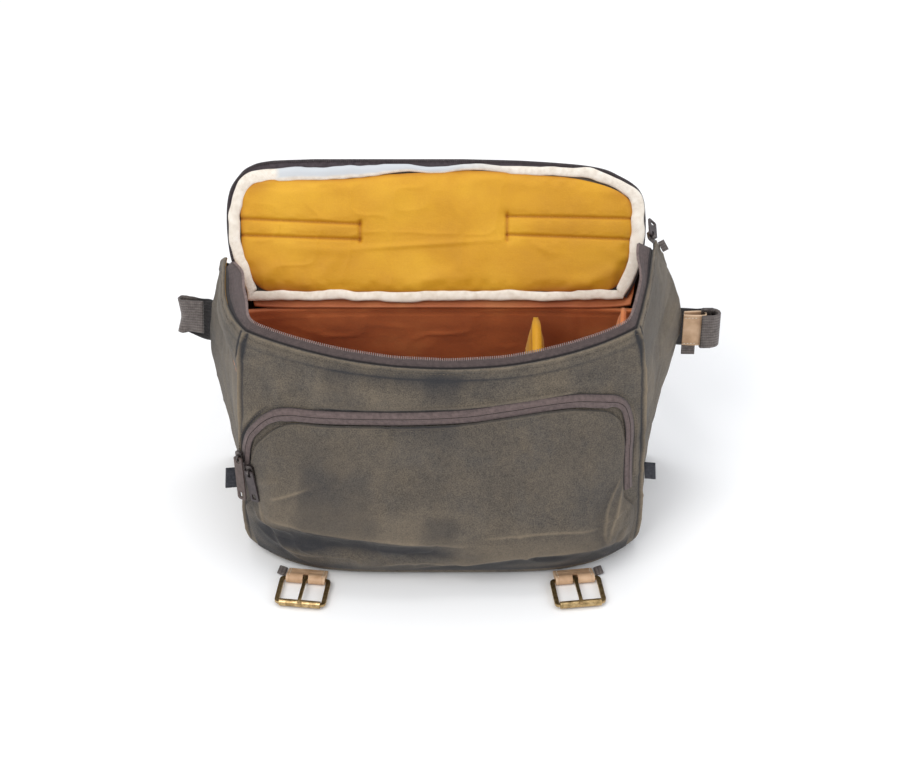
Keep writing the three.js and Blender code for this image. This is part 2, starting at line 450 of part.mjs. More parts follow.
// slider on a surface at origin: up = surface normal, along = away from the closed teeth
function zipSlider(name, origin, up, along, pullLong, pullDir) {
  const z = new THREE.Vector3(...up).normalize(), y = new THREE.Vector3(...along);
  y.addScaledVector(z, -y.dot(z)).normalize();
  const x = new THREE.Vector3().crossVectors(y, z);
  place(piece(name + "_slider", sliderGeo.clone(), 0x5a504c, 0.45, 0.6), origin, x.toArray(), y.toArray(), z.toArray());
  const bar = new THREE.Vector3(...origin).addScaledVector(z, SLIDER.thick + SLIDER.lift);
  const hang = new THREE.Vector3(...pullDir);
  hang.addScaledVector(x, -hang.dot(x)).normalize().negate();
  const flat = new THREE.Vector3().crossVectors(x, hang);
  place(piece(name + "_pull", pullGeo(pullLong), 0x6b5f58, 0.5, 0.3), bar.toArray(), x.toArray(), hang.toArray(), flat.toArray());
}
// place on the arch tape, k stations up from its left end and inset from its outer edge
function onArch(k, edge, out) {
  const i = Math.floor(k), f = k - i, a = archAt(i, edge), b = archAt(i + 1, edge);
  return frontPoint(mix(a[0], b[0], f), mix(a[1], b[1], f), out);
}
function archSlider(name, k, edge, long, dir) {
  const o = onArch(k, edge, 4.6), high = onArch(k, edge, 5.6);
  zipSlider(name, o, high.map((c, i) => c - o[i]), dir.map((c) => -c), long, dir);
}
archSlider("pocket_zip_a", 2.6, 1.3, PULL.long, [0.05, -0.13, -1]);
archSlider("pocket_zip_b", 1.45, 11, 33, [0.16, -0.14, -1]);
zipSlider("mouth_zip", [189.6, 50, 283.2], [0.7, 0.05, 0.7], [0.05, -1, 0.05], 24, [0.35, 1, -0.3]);

// ---------------------------------------------------------------- small webbing pieces
// folded loop standing out of a seam
function tab(name, origin, out, wide, long, thick, axis) {
  const o = new THREE.Vector3(...origin), d = new THREE.Vector3(...out).normalize();
  piece(name, band([0, 0.5, 1].map((k) => o.clone().addScaledVector(d, long * k).toArray()), wide, thick, () => axis), 0x4b4644, 0.85);
}
tab("side_tab_left", [-187.4, -56.4, 88], [-1, -0.25, 0.1], 22, 14, 3, [0, 0.1, 1]);
tab("side_tab_right", [187.4, -56.4, 96], [1, -0.25, 0.1], 18, 10, 3, [0, 0.1, 1]);
tab("rear_tab", [201.4, 66, 262], [1, 0.2, 0.5], 12, 6, 3, [-0.3, 0, 1]);

// ---------------------------------------------------------------- buckle tabs
const turned = (b, x, y, z) => {
  const a = THREE.MathUtils.degToRad(b.splay);
  return [b.x + x * Math.cos(a) - y * Math.sin(a), b.y + x * Math.sin(a) + y * Math.cos(a), z];
};
for (const b of BUCKLES) {
  const frameOf = (mesh) => place(mesh, [b.x, b.y, 0], turned({ ...b, x: 0, y: 0 }, 1, 0, 0), turned({ ...b, x: 0, y: 0 }, 0, 1, 0), [0, 0, 1]);
  // leather: lower layer, round the heel bar, upper layer back, slot for the prong
  const r = BUCKLE.bore + LEATHER / 2, h = BUCKLE.height, path = [[0, 2.4, LEATHER / 2 + 0.5], [0, -6, LEATHER / 2 + 0.5], [0, BUCKLE.heelY + 1, h - r]];
  for (let a = 1; a < 8; a++) path.push([0, BUCKLE.heelY - r * Math.sin((a * Math.PI) / 8), h - r * Math.cos((a * Math.PI) / 8)]);
  path.push([0, BUCKLE.heelY + 1.5, h + r], [0, -6.5, h + 0.4], [0, -2.5, LEATHER * 1.5 + 1.3]);
  const loop = toSolid(band(path, 37, LEATHER, () => [1, 0, 0]));
  const slot = toSolid(new THREE.BoxGeometry(6, 18, 12).translate(0, BUCKLE.heelY - 3, h));
  frameOf(piece("buckle_tab_" + b.side, fromSolid(loop.subtract(slot)), 0xb28c6c, 0.6));
  // frame: rectangular wire ring lying flat
  const long = BUCKLE.heelY - BUCKLE.frontY + BUCKLE.wire, mid = (BUCKLE.heelY + BUCKLE.frontY) / 2;
  const ring = roundedRect(BUCKLE.outerW, long, 4.5);
  ring.holes.push(roundedRect(BUCKLE.window, long - 2 * BUCKLE.wire, 1, new THREE.Path()));
  frameOf(piece("buckle_frame_" + b.side, extruded(ring, BUCKLE.wire, 4).translate(0, mid, h - BUCKLE.wire / 2), 0x96825f, 0.35, 0.9));
  // roller on the front bar
  const tube = new THREE.Shape().absarc(0, 0, BUCKLE.roller, 0, 2 * Math.PI);
  tube.holes.push(new THREE.Path().absarc(0, 0, BUCKLE.bore, 0, 2 * Math.PI));
  frameOf(piece("buckle_roller_" + b.side, extruded(tube, 38.4, 16).rotateY(Math.PI / 2).translate(-19.2, BUCKLE.frontY, h), 0xa8946c, 0.3, 0.9));
  // prong: eye round the heel bar, arm resting on the roller
  const eye = new THREE.Shape(), y0 = BUCKLE.heelY, tip = BUCKLE.frontY - 4.2, over = h + BUCKLE.roller + 0.3;
  eye.moveTo(y0 + 3.5, h);
  eye.absarc(y0, h, 3.5, 0, Math.PI * 0.62).lineTo(BUCKLE.frontY + 5, over + 2).lineTo(BUCKLE.frontY, over + 2.1).lineTo(tip, over + 1.3).lineTo(tip + 0.3, over - 0.4).lineTo(BUCKLE.frontY, over);
  eye.lineTo(BUCKLE.frontY + 5, over - 0.2).lineTo(y0 - 3.4, h + 0.9).absarc(y0, h, 3.5, Math.PI * 0.92, 2 * Math.PI);
  eye.holes.push(new THREE.Path().absarc(y0, h, 2.15, 0, 2 * Math.PI));
  const basis = new THREE.Matrix4().makeBasis(new THREE.Vector3(0, 1, 0), new THREE.Vector3(0, 0, 1), new THREE.Vector3(1, 0, 0));
  frameOf(piece("buckle_prong_" + b.side, extruded(eye, 3.2, 10).applyMatrix4(basis).translate(-1.6, 0, 0), 0x96825f, 0.35, 0.9));
  // short end of webbing beside the leather
  const dir = b.side === "left" ? -1 : 1;
  frameOf(piece("web_stub_" + b.side, band([[dir * 23.5, 1.5, 3.4], [dir * 24, -3, 3.2], [dir * 24.6, -7.5, 2.6]], 8, 2.4, () => [1, 0, 0.25 * dir]), 0x787070, 0.85));
}

// ---------------------------------------------------------------- carrying strap and its hardware
const BAR = { x1: 247.5, x2: 257.2, y: 82, z: 157, wire: 3, high: 46 };
// leather lug folded round the ring's inner bar
const lug = [[229.4, 79.4, 0], [238, 78.6, 0]];
for (let a = 0; a <= 8; a++) lug.push([BAR.x1 + 3.3 * Math.sin((a * Math.PI) / 8), BAR.y - 3.3 * Math.cos((a * Math.PI) / 8), 0]);
lug.push([238, 85.2, 0], [230.2, 84.4, 0]);
piece("strap_lug_right", band(lug.map(([x, y]) => [x, y, BAR.z]), 36, LEATHER, () => [0, 0, 1]), 0xb28c6c, 0.6);
const loopShape = roundedRect(BAR.x2 - BAR.x1 + BAR.wire, BAR.high, 2.4);
loopShape.holes.push(roundedRect(BAR.x2 - BAR.x1 - BAR.wire, BAR.high - 2 * BAR.wire, 0.8, new THREE.Path()));
place(piece("strap_ring", extruded(loopShape, BAR.wire, 3).translate(0, 0, -BAR.wire / 2), 0x8d8377, 0.35, 0.9), [(BAR.x1 + BAR.x2) / 2, BAR.y, BAR.z], [1, 0, 0], [0, 0, 1], [0, -1, 0]);
// webbing tail under the lug
piece("lug_webbing", band([[229.6, 82.1, 0], [236, 81.9, 0], [242.4, 81.8, 0]].map(([x, y]) => [x, y, 134]), 16, 1.8, () => [0.1, 0, 1]), 0x787070, 0.85);
const strapPath = curve(STRAP.map(({ x, y, z }) => [x, y, z]), 72);
const leaning = (k) => {
  const step = THREE.MathUtils.smoothstep; // leans back over the floor, and forward in the loop at the left lug
  return [0, 0.36 * step(Math.min(k, 1 - k), 0.07, 0.3) - 0.45 * step(k, 0.94, 0.972) * (1 - step(k, 0.978, 1)), 1];
};
piece("shoulder_strap", band(strapPath, WEB_W, WEB_T, leaning), 0x787070, 0.85);

export default group;
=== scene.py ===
import math

import bmesh
import bpy
import numpy as np
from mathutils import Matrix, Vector


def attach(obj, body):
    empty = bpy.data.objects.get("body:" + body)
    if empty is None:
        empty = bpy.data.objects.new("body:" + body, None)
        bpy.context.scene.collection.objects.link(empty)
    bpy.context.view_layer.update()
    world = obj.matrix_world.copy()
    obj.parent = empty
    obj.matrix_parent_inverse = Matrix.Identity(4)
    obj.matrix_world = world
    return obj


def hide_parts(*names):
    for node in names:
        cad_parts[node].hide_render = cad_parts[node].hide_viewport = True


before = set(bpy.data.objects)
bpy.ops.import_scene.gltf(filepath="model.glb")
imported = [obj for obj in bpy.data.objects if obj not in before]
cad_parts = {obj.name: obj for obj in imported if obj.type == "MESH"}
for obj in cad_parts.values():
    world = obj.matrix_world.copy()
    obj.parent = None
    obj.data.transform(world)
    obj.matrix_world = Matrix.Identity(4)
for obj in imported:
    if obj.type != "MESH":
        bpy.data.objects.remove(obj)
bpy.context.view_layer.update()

# ---------------------------------------------------------------- camera and light
scene = bpy.context.scene
TARGET = Vector((0.007, 0, 0.155))
cam_data = bpy.data.cameras.new("camera")
cam_data.lens, cam_data.sensor_width = 94.64, 36
cam = bpy.data.objects.new("camera", cam_data)
scene.collection.objects.link(cam)
elevation = math.radians(38)
back = Vector((0, -math.cos(elevation), math.sin(elevation)))
cam.location = TARGET + back * 2.2
cam.rotation_mode = "QUATERNION"
cam.rotation_quaternion = (-back).to_track_quat("-Z", "Y")
cam_data.clip_start, cam_data.clip_end = 0.05, 50
scene.camera = cam
scene.view_settings.view_transform = "Standard"

world = bpy.data.worlds.new("studio")
scene.world = world
world.use_nodes = True
world.node_tree.nodes["Background"].inputs[0].default_value = (0.94, 0.96, 1.0, 1)
world.node_tree.nodes["Background"].inputs[1].default_value = 0.72


def light(name, place, aim, size, power, colour=(1, 1, 1)):
    data = bpy.data.lights.new(name, "AREA")
    data.shape, data.size, data.energy, data.color = "SQUARE", size, power, colour
    o = bpy.data.objects.new(name, data)
    scene.collection.objects.link(o)
    o.location = place
    o.rotation_mode = "QUATERNION"
    o.rotation_quaternion = (Vector(aim) - Vector(place)).to_track_quat("-Z", "Y")


light("key", (-1.1, -1.5, 2.3), (0, 0, 0.1), 1.5, 36, (1, 0.985, 0.96))
light("fill", (1.7, -1.1, 1.5), (0, 0, 0.15), 1.6, 12, (0.95, 0.97, 1))
light("top", (0, 0.5, 2.4), (0, 0, 0.1), 1.4, 18)

# ---------------------------------------------------------------- sizes, in millimetres as in the CAD
CANVAS, PAD, GAP, BASE_R = 2.2, 5, 0.3, 10
ZIP_RISE, ZIP_SEWN, TAPE = 7, 8, 1.2
WEB_W, WEB_T, LEATHER = 38, 2.2, 1.8


def table(columns, *rows):
    data = np.array(rows, float)
    return {name: data[:, i] for i, name in enumerate(columns.split())}


SECTIONS = table(
    "z frontY seamX seamY wingL wingR wingY backY square",
    (0, -97, 183, -50, 205, 201, 84, 93, 4.6),
    (40, -100, 186, -56, 211, 207, 85, 95, 4.6),
    (90, -100, 185, -60, 219, 215, 85, 96, 4.4),
    (135, -99, 184.5, -62, 224, 224, 85, 96, 4),
    (165, -98, 184, -62, 222, 228, 85, 96, 3.8),
    (205, -96, 182.5, -62, 214, 219, 84.5, 95, 3.4),
    (240, -95, 180, -63, 206, 207, 83.5, 93, 3),
    (262, -97, 174, -64, 199, 201, 81, 91, 2.7),
    (285, -98, 168, -66, 194, 196, 78, 90, 2.6),
)
RIM_FRONT = table("s z", (-1, 268), (-0.72, 263), (-0.47, 257), (-0.2, 251.5), (0.04, 249.5), (0.3, 252), (0.55, 258), (0.8, 265), (1, 272))
RIM_LEFT = table("t z", (0, 268), (0.4, 265), (0.8, 259), (1, 234))
RIM_RIGHT = table("t z", (0, 272), (0.4, 278), (0.8, 281), (1, 240))
RIM_BACK = table("s z", (-1, 234), (-0.86, 222), (-0.5, 220), (0, 220), (0.5, 220), (0.86, 223), (1, 240))
ZIP_END_T = 0.75
HINGE_Y, HINGE_Z, LID_TILT = 57, 206.3, math.radians(52)
LID = table(
    "d left right",
    (0, -183, 170), (20, -191, 181), (45, -199, 188), (80, -202, 190), (104, -199, 184.5),
    (118, -190.5, 165), (127, -179.5, 137), (132, -159, 75), (133.5, -120, 20),
)
POCKET_FOOT = 12
POCKET_SIDES = table(
    "v left right",
    (0, -172, 171), (0.2, -180, 177), (0.45, -183, 174), (0.62, -183, 173), (0.76, -178, 173),
    (0.86, -168, 170), (0.93, -158, 165), (0.98, -146, 156), (1, -134, 147),
)
POCKET_TOP = table("s z", (-1, 194), (-0.6, 197), (-0.2, 198), (0.1, 200.5), (0.35, 206), (0.62, 211), (0.82, 211), (1, 205))
POCKET_BULGE = table("v out", (0, 0), (0.08, 7), (0.22, 14), (0.42, 13), (0.7, 8), (0.92, 3), (1, 1.5))
POCKET_TAPE_W, POCKET_TAPE_V = 14, 0.47
STRAP = [
    (246.5, 76.2, 157), (252, 76.1, 157), (258.4, 76.6, 157), (262.6, 78.8, 157), (264, 82.4, 157),
    (262, 86.4, 156.6), (256, 89.8, 155), (247, 94, 151), (237, 103, 144), (224, 122, 130),
    (206, 175, 104), (178, 250, 74), (130, 335, 45), (66, 390, 25.5), (0, 408, 19.3),
    (-66, 390, 25.5), (-130, 335, 45), (-178, 250, 74), (-204, 178, 106), (-222, 124, 134),
    (-235, 106, 154), (-246, 99, 162), (-249.8, 94.5, 164.5), (-247.8, 90.6, 165.6), (-240, 88.3, 166.4),
    (-228.6, 87.2, 166),
]


def at(rows, key, x, col):
    """Smooth value of a table's column at key = x."""
    k, f = rows[key], rows[col]
    x = np.clip(np.asarray(x, float), k[0], k[-1])
    slope = np.empty(len(k))
    slope[0], slope[-1] = (f[1] - f[0]) / (k[1] - k[0]), (f[-1] - f[-2]) / (k[-1] - k[-2])
    slope[1:-1] = (f[2:] - f[:-2]) / (k[2:] - k[:-2])
    i = np.clip(np.searchsorted(k, x, side="left") - 1, 0, len(k) - 2)
    h = k[i + 1] - k[i]
    u = (x - k[i]) / h
    return ((2 * u**3 - 3 * u**2 + 1) * f[i] + (u**3 - 2 * u**2 + u) * slope[i] * h
            + (3 * u**2 - 2 * u**3) * f[i + 1] + (u**3 - u**2) * slope[i + 1] * h)


def wall(z, col):
    return at(SECTIONS, "z", z, col)


def mix(a, b, t):
    return a + (b - a) * t


def smooth(x, a, b):
    t = np.clip((np.asarray(x, float) - a) / (b - a), 0, 1)
    return t * t * (3 - 2 * t)


def bell(x, width):
    return np.exp(-((np.asarray(x, float) / width) ** 2))


# ---------------------------------------------------------------- noise with fixed seeds
def _lattice(i, j, k, seed):
    h = (i * 73856093) ^ (j * 19349663) ^ (k * 83492791) ^ (seed * 2654435761)
    h = (h ^ (h >> 13)) * 1274126177
    h = (h ^ (h >> 16)) & 0xFFFFFFFF
    return h / 2147483648.0 - 1.0


def noise(p, size, seed=1):
    """Smooth noise from -1 to 1 at points p (n, 3), with features about size across."""
    q = np.asarray(p, float) / size
    c = np.floor(q).astype(np.int64)
    f = q - c
    f = f * f * f * (f * (f * 6 - 15) + 10)
    total = np.zeros(q.shape[:-1])
    for dx in (0, 1):
        for dy in (0, 1):
            for dz in (0, 1):
                w = (f[..., 0] if dx else 1 - f[..., 0]) * (f[..., 1] if dy else 1 - f[..., 1]) * (f[..., 2] if dz else 1 - f[..., 2])
                total = total + w * _lattice(c[..., 0] + dx, c[..., 1] + dy, c[..., 2] + dz, seed)
    return total


def layered(p, size, seed=1, octaves=3):
    total, scale = 0, 1
    for o in range(octaves):
        total = total + noise(p, size * scale, seed + o) * scale
        scale *= 0.5
    return total / 1.6


def creases(p, size, seed=1):
    """Thin ridges, from 0 to 1, such as cloth has where it has been crumpled."""
    return np.clip(1 - 3.2 * np.abs(noise(p, size, seed)), 0, 1) ** 2


# ---------------------------------------------------------------- mesh building
def finish_mesh(name, verts, faces, uv=None, marks=None, smooth_shade=True):
    mesh = bpy.data.meshes.new(name)
    mesh.from_pydata((np.asarray(verts, float) * 0.001).tolist(), [], faces if isinstance(faces, list) else faces.tolist())
    mesh.validate()
    if uv is not None:
        layer = mesh.uv_layers.new(name="cloth")
        loops = np.empty(len(mesh.loops), np.int32)
        mesh.loops.foreach_get("vertex_index", loops)
        layer.data.foreach_set("uv", np.asarray(uv, np.float32)[loops].ravel())
    for key, values in (marks or {}).items():
        a = mesh.attributes.new(key, "FLOAT", "POINT")
        a.data.foreach_set("value", np.asarray(values, np.float32).ravel())
    bm = bmesh.new()
    bm.from_mesh(mesh)
    bmesh.ops.recalc_face_normals(bm, faces=bm.faces)
    bm.to_mesh(mesh)
    bm.free()
    if smooth_shade:
        mesh.polygons.foreach_set("use_smooth", [True] * len(mesh.polygons))
    mesh.update()
    o = bpy.data.objects.new(name, mesh)
    scene.collection.objects.link(o)
    return o


def quads(rows, cols, base=0, wrap=False):
    """Faces of a grid of points, row by row; wrap joins the last column to the first."""
    c = cols if wrap else cols - 1
    j, i = np.meshgrid(np.arange(rows - 1), np.arange(c), indexing="ij")
    a, b = j * cols + i, j * cols + (i + 1) % cols
    return (np.stack([a, b, b + cols, a + cols], -1).reshape(-1, 4) + base)


def loft(name, rings, uv=None, marks=None, caps=True):
    """Closed form through rings (R, N, 3), capped at both ends."""
    rings = np.asarray(rings, float)
    r, n = rings.shape[:2]
    verts = rings.reshape(-1, 3)
    faces = quads(r, n, wrap=True).tolist()
    flat = lambda v: np.asarray(v, float).reshape(r * n, -1)
    uv = None if uv is None else flat(uv)
    marks = {k: flat(v)[:, 0] for k, v in (marks or {}).items()}
    if caps:
        centres = np.array([rings[0].mean(0), rings[-1].mean(0)])
        verts = np.vstack([verts, centres])
        for e, start in enumerate((0, (r - 1) * n)):
            for i in range(n):
                faces.append([start + i, start + (i + 1) % n, r * n + e])
        if uv is not None:
            uv = np.vstack([uv, uv[:n].mean(0), uv[-n:].mean(0)])
        marks = {k: np.append(v, [v[:n].mean(), v[-n:].mean()]) for k, v in marks.items()}
    return finish_mesh(name, verts, faces, uv, marks)


def hoop(name, rings, uv=None, marks=None):
    """Tube closed on itself through rings (R, N, 3)."""
    rings = np.asarray(rings, float)
    r, n = rings.shape[:2]
    j, i = np.meshgrid(np.arange(r), np.arange(n), indexing="ij")
    k, l = (j + 1) % r, (i + 1) % n
    faces = np.stack([j * n + i, j * n + l, k * n + l, k * n + i], -1).reshape(-1, 4)
    uv = None if uv is None else np.asarray(uv, float).reshape(-1, 2)
    marks = {key: np.asarray(v, float).reshape(-1) for key, v in (marks or {}).items()}
    return finish_mesh(name, rings.reshape(-1, 3), faces, uv, marks)


def slab(name, top, bottom, uv=None, marks=None):
    """Closed sheet between two grids of points (R, C, 3)."""
    r, c = top.shape[:2]
    verts = np.vstack([top.reshape(-1, 3), bottom.reshape(-1, 3)])
    half = r * c
    faces = quads(r, c).tolist() + quads(r, c, half)[:, ::-1].tolist()
    rim = list(range(c)) + [j * c + c - 1 for j in range(1, r)] + [(r - 1) * c + i for i in range(c - 2, -1, -1)] + [j * c for j in range(r - 2, 0, -1)]
    for a, b in zip(rim, rim[1:] + rim[:1]):
        faces.append([b, a, half + a, half + b])
    uv = None if uv is None else np.vstack([uv.reshape(-1, 2)] * 2)
    marks = {k: np.tile(np.asarray(v, float).reshape(-1), 2) for k, v in (marks or {}).items()}
    return finish_mesh(name, verts, faces, uv, marks)


def unit(v):
    v = np.asarray(v, float)
    return v / np.maximum(np.linalg.norm(v, axis=-1, keepdims=True), 1e-9)


def resample(path, step):
    """Points about step apart on a smooth curve through path."""
    p = np.asarray(path, float)
    p = np.vstack([2 * p[0] - p[1], p, 2 * p[-1] - p[-2]])
    out = []
    for i in range(1, len(p) - 2):
        a, b, c, d = p[i - 1:i + 3]
        t01, t12, t23 = (max(np.linalg.norm(v), 1e-6) ** 0.5 for v in (b - a, c - b, d - c))
        m1 = c - b + t12 * ((b - a) / t01 - (c - a) / (t01 + t12))
        m2 = c - b + t12 * ((d - c) / t23 - (d - b) / (t12 + t23))
        u = np.linspace(0, 1, 40, endpoint=False)[:, None]
        out.append((2 * b - 2 * c + m1 + m2) * u**3 + (-3 * b + 3 * c - 2 * m1 - m2) * u**2 + m1 * u + b)
    q = np.vstack(out + [p[-2:-1]])
    s = np.append(0, np.cumsum(np.linalg.norm(np.diff(q, axis=0), axis=1)))
    n = max(2, int(round(s[-1] / step)) + 1)
    k = np.linspace(0, s[-1], n)
    return np.stack([np.interp(k, s, q[:, i]) for i in range(3)], -1), k


def frames(path, axis, closed=False):
    """Tangent, width direction and normal at each point of a path."""
    if closed:
        t = unit(np.roll(path, -1, 0) - np.roll(path, 1, 0))
    else:
        t = unit(np.gradient(path, axis=0))
    w = np.broadcast_to(np.asarray(axis, float), path.shape)
    w = unit(w - (w * t).sum(-1, keepdims=True) * t)
    return t, w, np.cross(w, t)


def swept(name, path, axis, profile, marks=None, closed=False, uv_start=0.0, shift=None):
    """Profile (K, 2) of width and height swept along path; UVs are millimetres along and across."""
    t, w, n = frames(path, axis, closed)
    profile = np.asarray(profile, float)
    if profile.ndim == 2:
        profile = np.broadcast_to(profile, (len(path),) + profile.shape)
    rings = path[:, None] + profile[..., :1] * w[:, None] + profile[..., 1:] * n[:, None]
    if shift is not None:
        rings = rings + shift
    along = np.append(0, np.cumsum(np.linalg.norm(np.diff(path, axis=0), axis=1))) + uv_start
    uv = np.stack([np.broadcast_to(along[:, None], rings.shape[:2]), profile[..., 0]], -1)
    return (hoop if closed else loft)(name, rings, uv * 0.001, marks)


def flat_profile(width, thick, across=10, round_to=0.5):
    """Closed outline of a flat band with rounded edges."""
    e = thick / 2
    x = np.linspace(-width / 2 + e, width / 2 - e, across)
    a = np.linspace(-math.pi / 2, math.pi / 2, 5)[1:-1]
    right = [(width / 2 - e + e * math.cos(t), e * math.sin(t)) for t in a]
    left = [(-width / 2 + e - e * math.cos(t), -e * math.sin(t)) for t in a]
    return [(v, -e) for v in x] + right + [(v, e) for v in x[::-1]] + left


def round_profile(radius, sides=10):
    return [(radius * math.cos(a), radius * math.sin(a)) for a in np.linspace(0, 2 * math.pi, sides, endpoint=False)]


def stitched(name, points, along, normal, length=2.6, radius=0.42, sunk=0.35):
    """Row of stitches: one small closed bead of thread for each point."""
    p, t, n = np.asarray(points, float), unit(along), unit(normal)
    b = unit(np.cross(t, n))
    verts, faces = [], []
    offsets, radii, sink = [-0.5, -0.3, 0.3, 0.5], [0.35, 1, 1, 0.35], [sunk + 0.3, 0, 0, sunk + 0.3]
    sides = 6
    angle = np.linspace(0, 2 * math.pi, sides, endpoint=False)
    for o, r, s in zip(offsets, radii, sink):
        c = p + t * (o * length) - n * (radius * s)
        verts.append(c[:, None] + radius * r * (np.cos(angle)[None, :, None] * b[:, None] + np.sin(angle)[None, :, None] * n[:, None]))
    v = np.stack(verts, 1).reshape(-1, 3)
    one = quads(4, sides, wrap=True).tolist() + [list(range(sides))[::-1], list(range(3 * sides, 4 * sides))]
    for k in range(len(p)):
        faces += [[i + k * 4 * sides for i in f] for f in one]
    return finish_mesh(name, v, faces)


def every(path, pitch, start=0.0, end=0.0):
    """Points pitch apart along a path, with their directions and the share along it."""
    path = np.asarray(path, float)
    s = np.append(0, np.cumsum(np.linalg.norm(np.diff(path, axis=0), axis=1)))
    k = np.arange(start, s[-1] - end, pitch)
    pts = np.stack([np.interp(k, s, path[:, i]) for i in range(3)], -1)
    ahead = np.stack([np.interp(k + 0.6, s, path[:, i]) - np.interp(k - 0.6, s, path[:, i]) for i in range(3)], -1)
    return pts, unit(ahead), k / s[-1]

# ---------------------------------------------------------------- materials
def srgb(r, g, b):
    f = lambda c: c / 12.92 if c <= 0.04045 else ((c + 0.055) / 1.055) ** 2.4
    return (f(r / 255), f(g / 255), f(b / 255), 1)


class Material:
    def __init__(self, name, roughness=0.8, metallic=0.0, specular=0.5, sheen=0.0, sheen_tint=(1, 1, 1, 1), coat=0.0):
        self.mat = bpy.data.materials.new(name)
        self.mat.use_nodes = True
        self.tree = self.mat.node_tree
        self.shader = self.tree.nodes["Principled BSDF"]
        for socket, value in (("Roughness", roughness), ("Metallic", metallic), ("Specular IOR Level", specular),
                              ("Sheen Weight", sheen), ("Sheen Tint", sheen_tint), ("Sheen Roughness", 0.45), ("Coat Weight", coat)):
            self.shader.inputs[socket].default_value = value
        self.place = self.node("ShaderNodeTexCoord").outputs["Object"]
        self.cloth = self.node("ShaderNodeUVMap", uv_map="cloth").outputs["UV"]

    def node(self, kind, **settings):
        n = self.tree.nodes.new(kind)
        for k, v in settings.items():
            setattr(n, k, v)
        return n

    def put(self, socket, value):
        if isinstance(value, bpy.types.NodeSocket):
            self.tree.links.new(value, socket)
        else:
            socket.default_value = value

    def noise(self, scale, detail=2.0, rough=0.5, stretch=None, on=None, distortion=0.0):
        n = self.node("ShaderNodeTexNoise")
        n.inputs["Scale"].default_value, n.inputs["Detail"].default_value = scale, detail
        n.inputs["Roughness"].default_value, n.inputs["Distortion"].default_value = rough, distortion
        self.put(n.inputs["Vector"], self.stretched(stretch, on))
        return n.outputs["Fac"]

    def stretched(self, stretch, on=None):
        on = self.place if on is None else on
        if stretch is None:
            return on
        m = self.node("ShaderNodeMapping")
        m.inputs["Scale"].default_value = stretch
        self.put(m.inputs["Vector"], on)
        return m.outputs["Vector"]

    def wave(self, period, axis="X", distortion=0.0, on=None):
        """Bands period metres apart."""
        n = self.node("ShaderNodeTexWave", bands_direction=axis)
        n.inputs["Scale"].default_value = 2 * math.pi / (20 * period)
        n.inputs["Distortion"].default_value = distortion
        n.inputs["Detail"].default_value, n.inputs["Detail Scale"].default_value = 1.0, 0.6
        self.put(n.inputs["Vector"], self.cloth if on is None else on)
        return n.outputs["Fac"]

    def math(self, op, a, b=0.5):
        n = self.node("ShaderNodeMath", operation=op)
        self.put(n.inputs[0], a)
        self.put(n.inputs[1], b)
        return n.outputs[0]

    def mark(self, name):
        return self.node("ShaderNodeAttribute", attribute_name=name).outputs["Fac"]

    def ramp(self, value, *stops):
        n = self.node("ShaderNodeValToRGB")
        e = n.color_ramp.elements
        while len(e) < len(stops):
            e.new(0.5)
        for element, (p, colour) in zip(e, stops):
            element.position, element.color = p, colour
        self.put(n.inputs["Fac"], value)
        return n.outputs["Color"]

    def blend(self, share, a, b, how="MIX"):
        n = self.node("ShaderNodeMix", data_type="RGBA", blend_type=how)
        for socket, value in ((n.inputs[0], share), (n.inputs[6], a), (n.inputs[7], b)):
            self.put(socket, value)
        return n.outputs[2]

    def finish(self, colour, rough=None, height=None, depth=0.0004, strength=0.6):
        self.put(self.shader.inputs["Base Color"], colour)
        if rough is not None:
            self.put(self.shader.inputs["Roughness"], rough)
        if height is not None:
            b = self.node("ShaderNodeBump")
            b.inputs["Strength"].default_value, b.inputs["Distance"].default_value = strength, depth
            self.put(b.inputs["Height"], height)
            self.put(self.shader.inputs["Normal"], b.outputs["Normal"])
        return self.mat


def range_of(m, value, low, high):
    n = m.node("ShaderNodeMapRange")
    m.put(n.inputs["Value"], value)
    n.inputs["To Min"].default_value, n.inputs["To Max"].default_value = low, high
    return n.outputs["Result"]


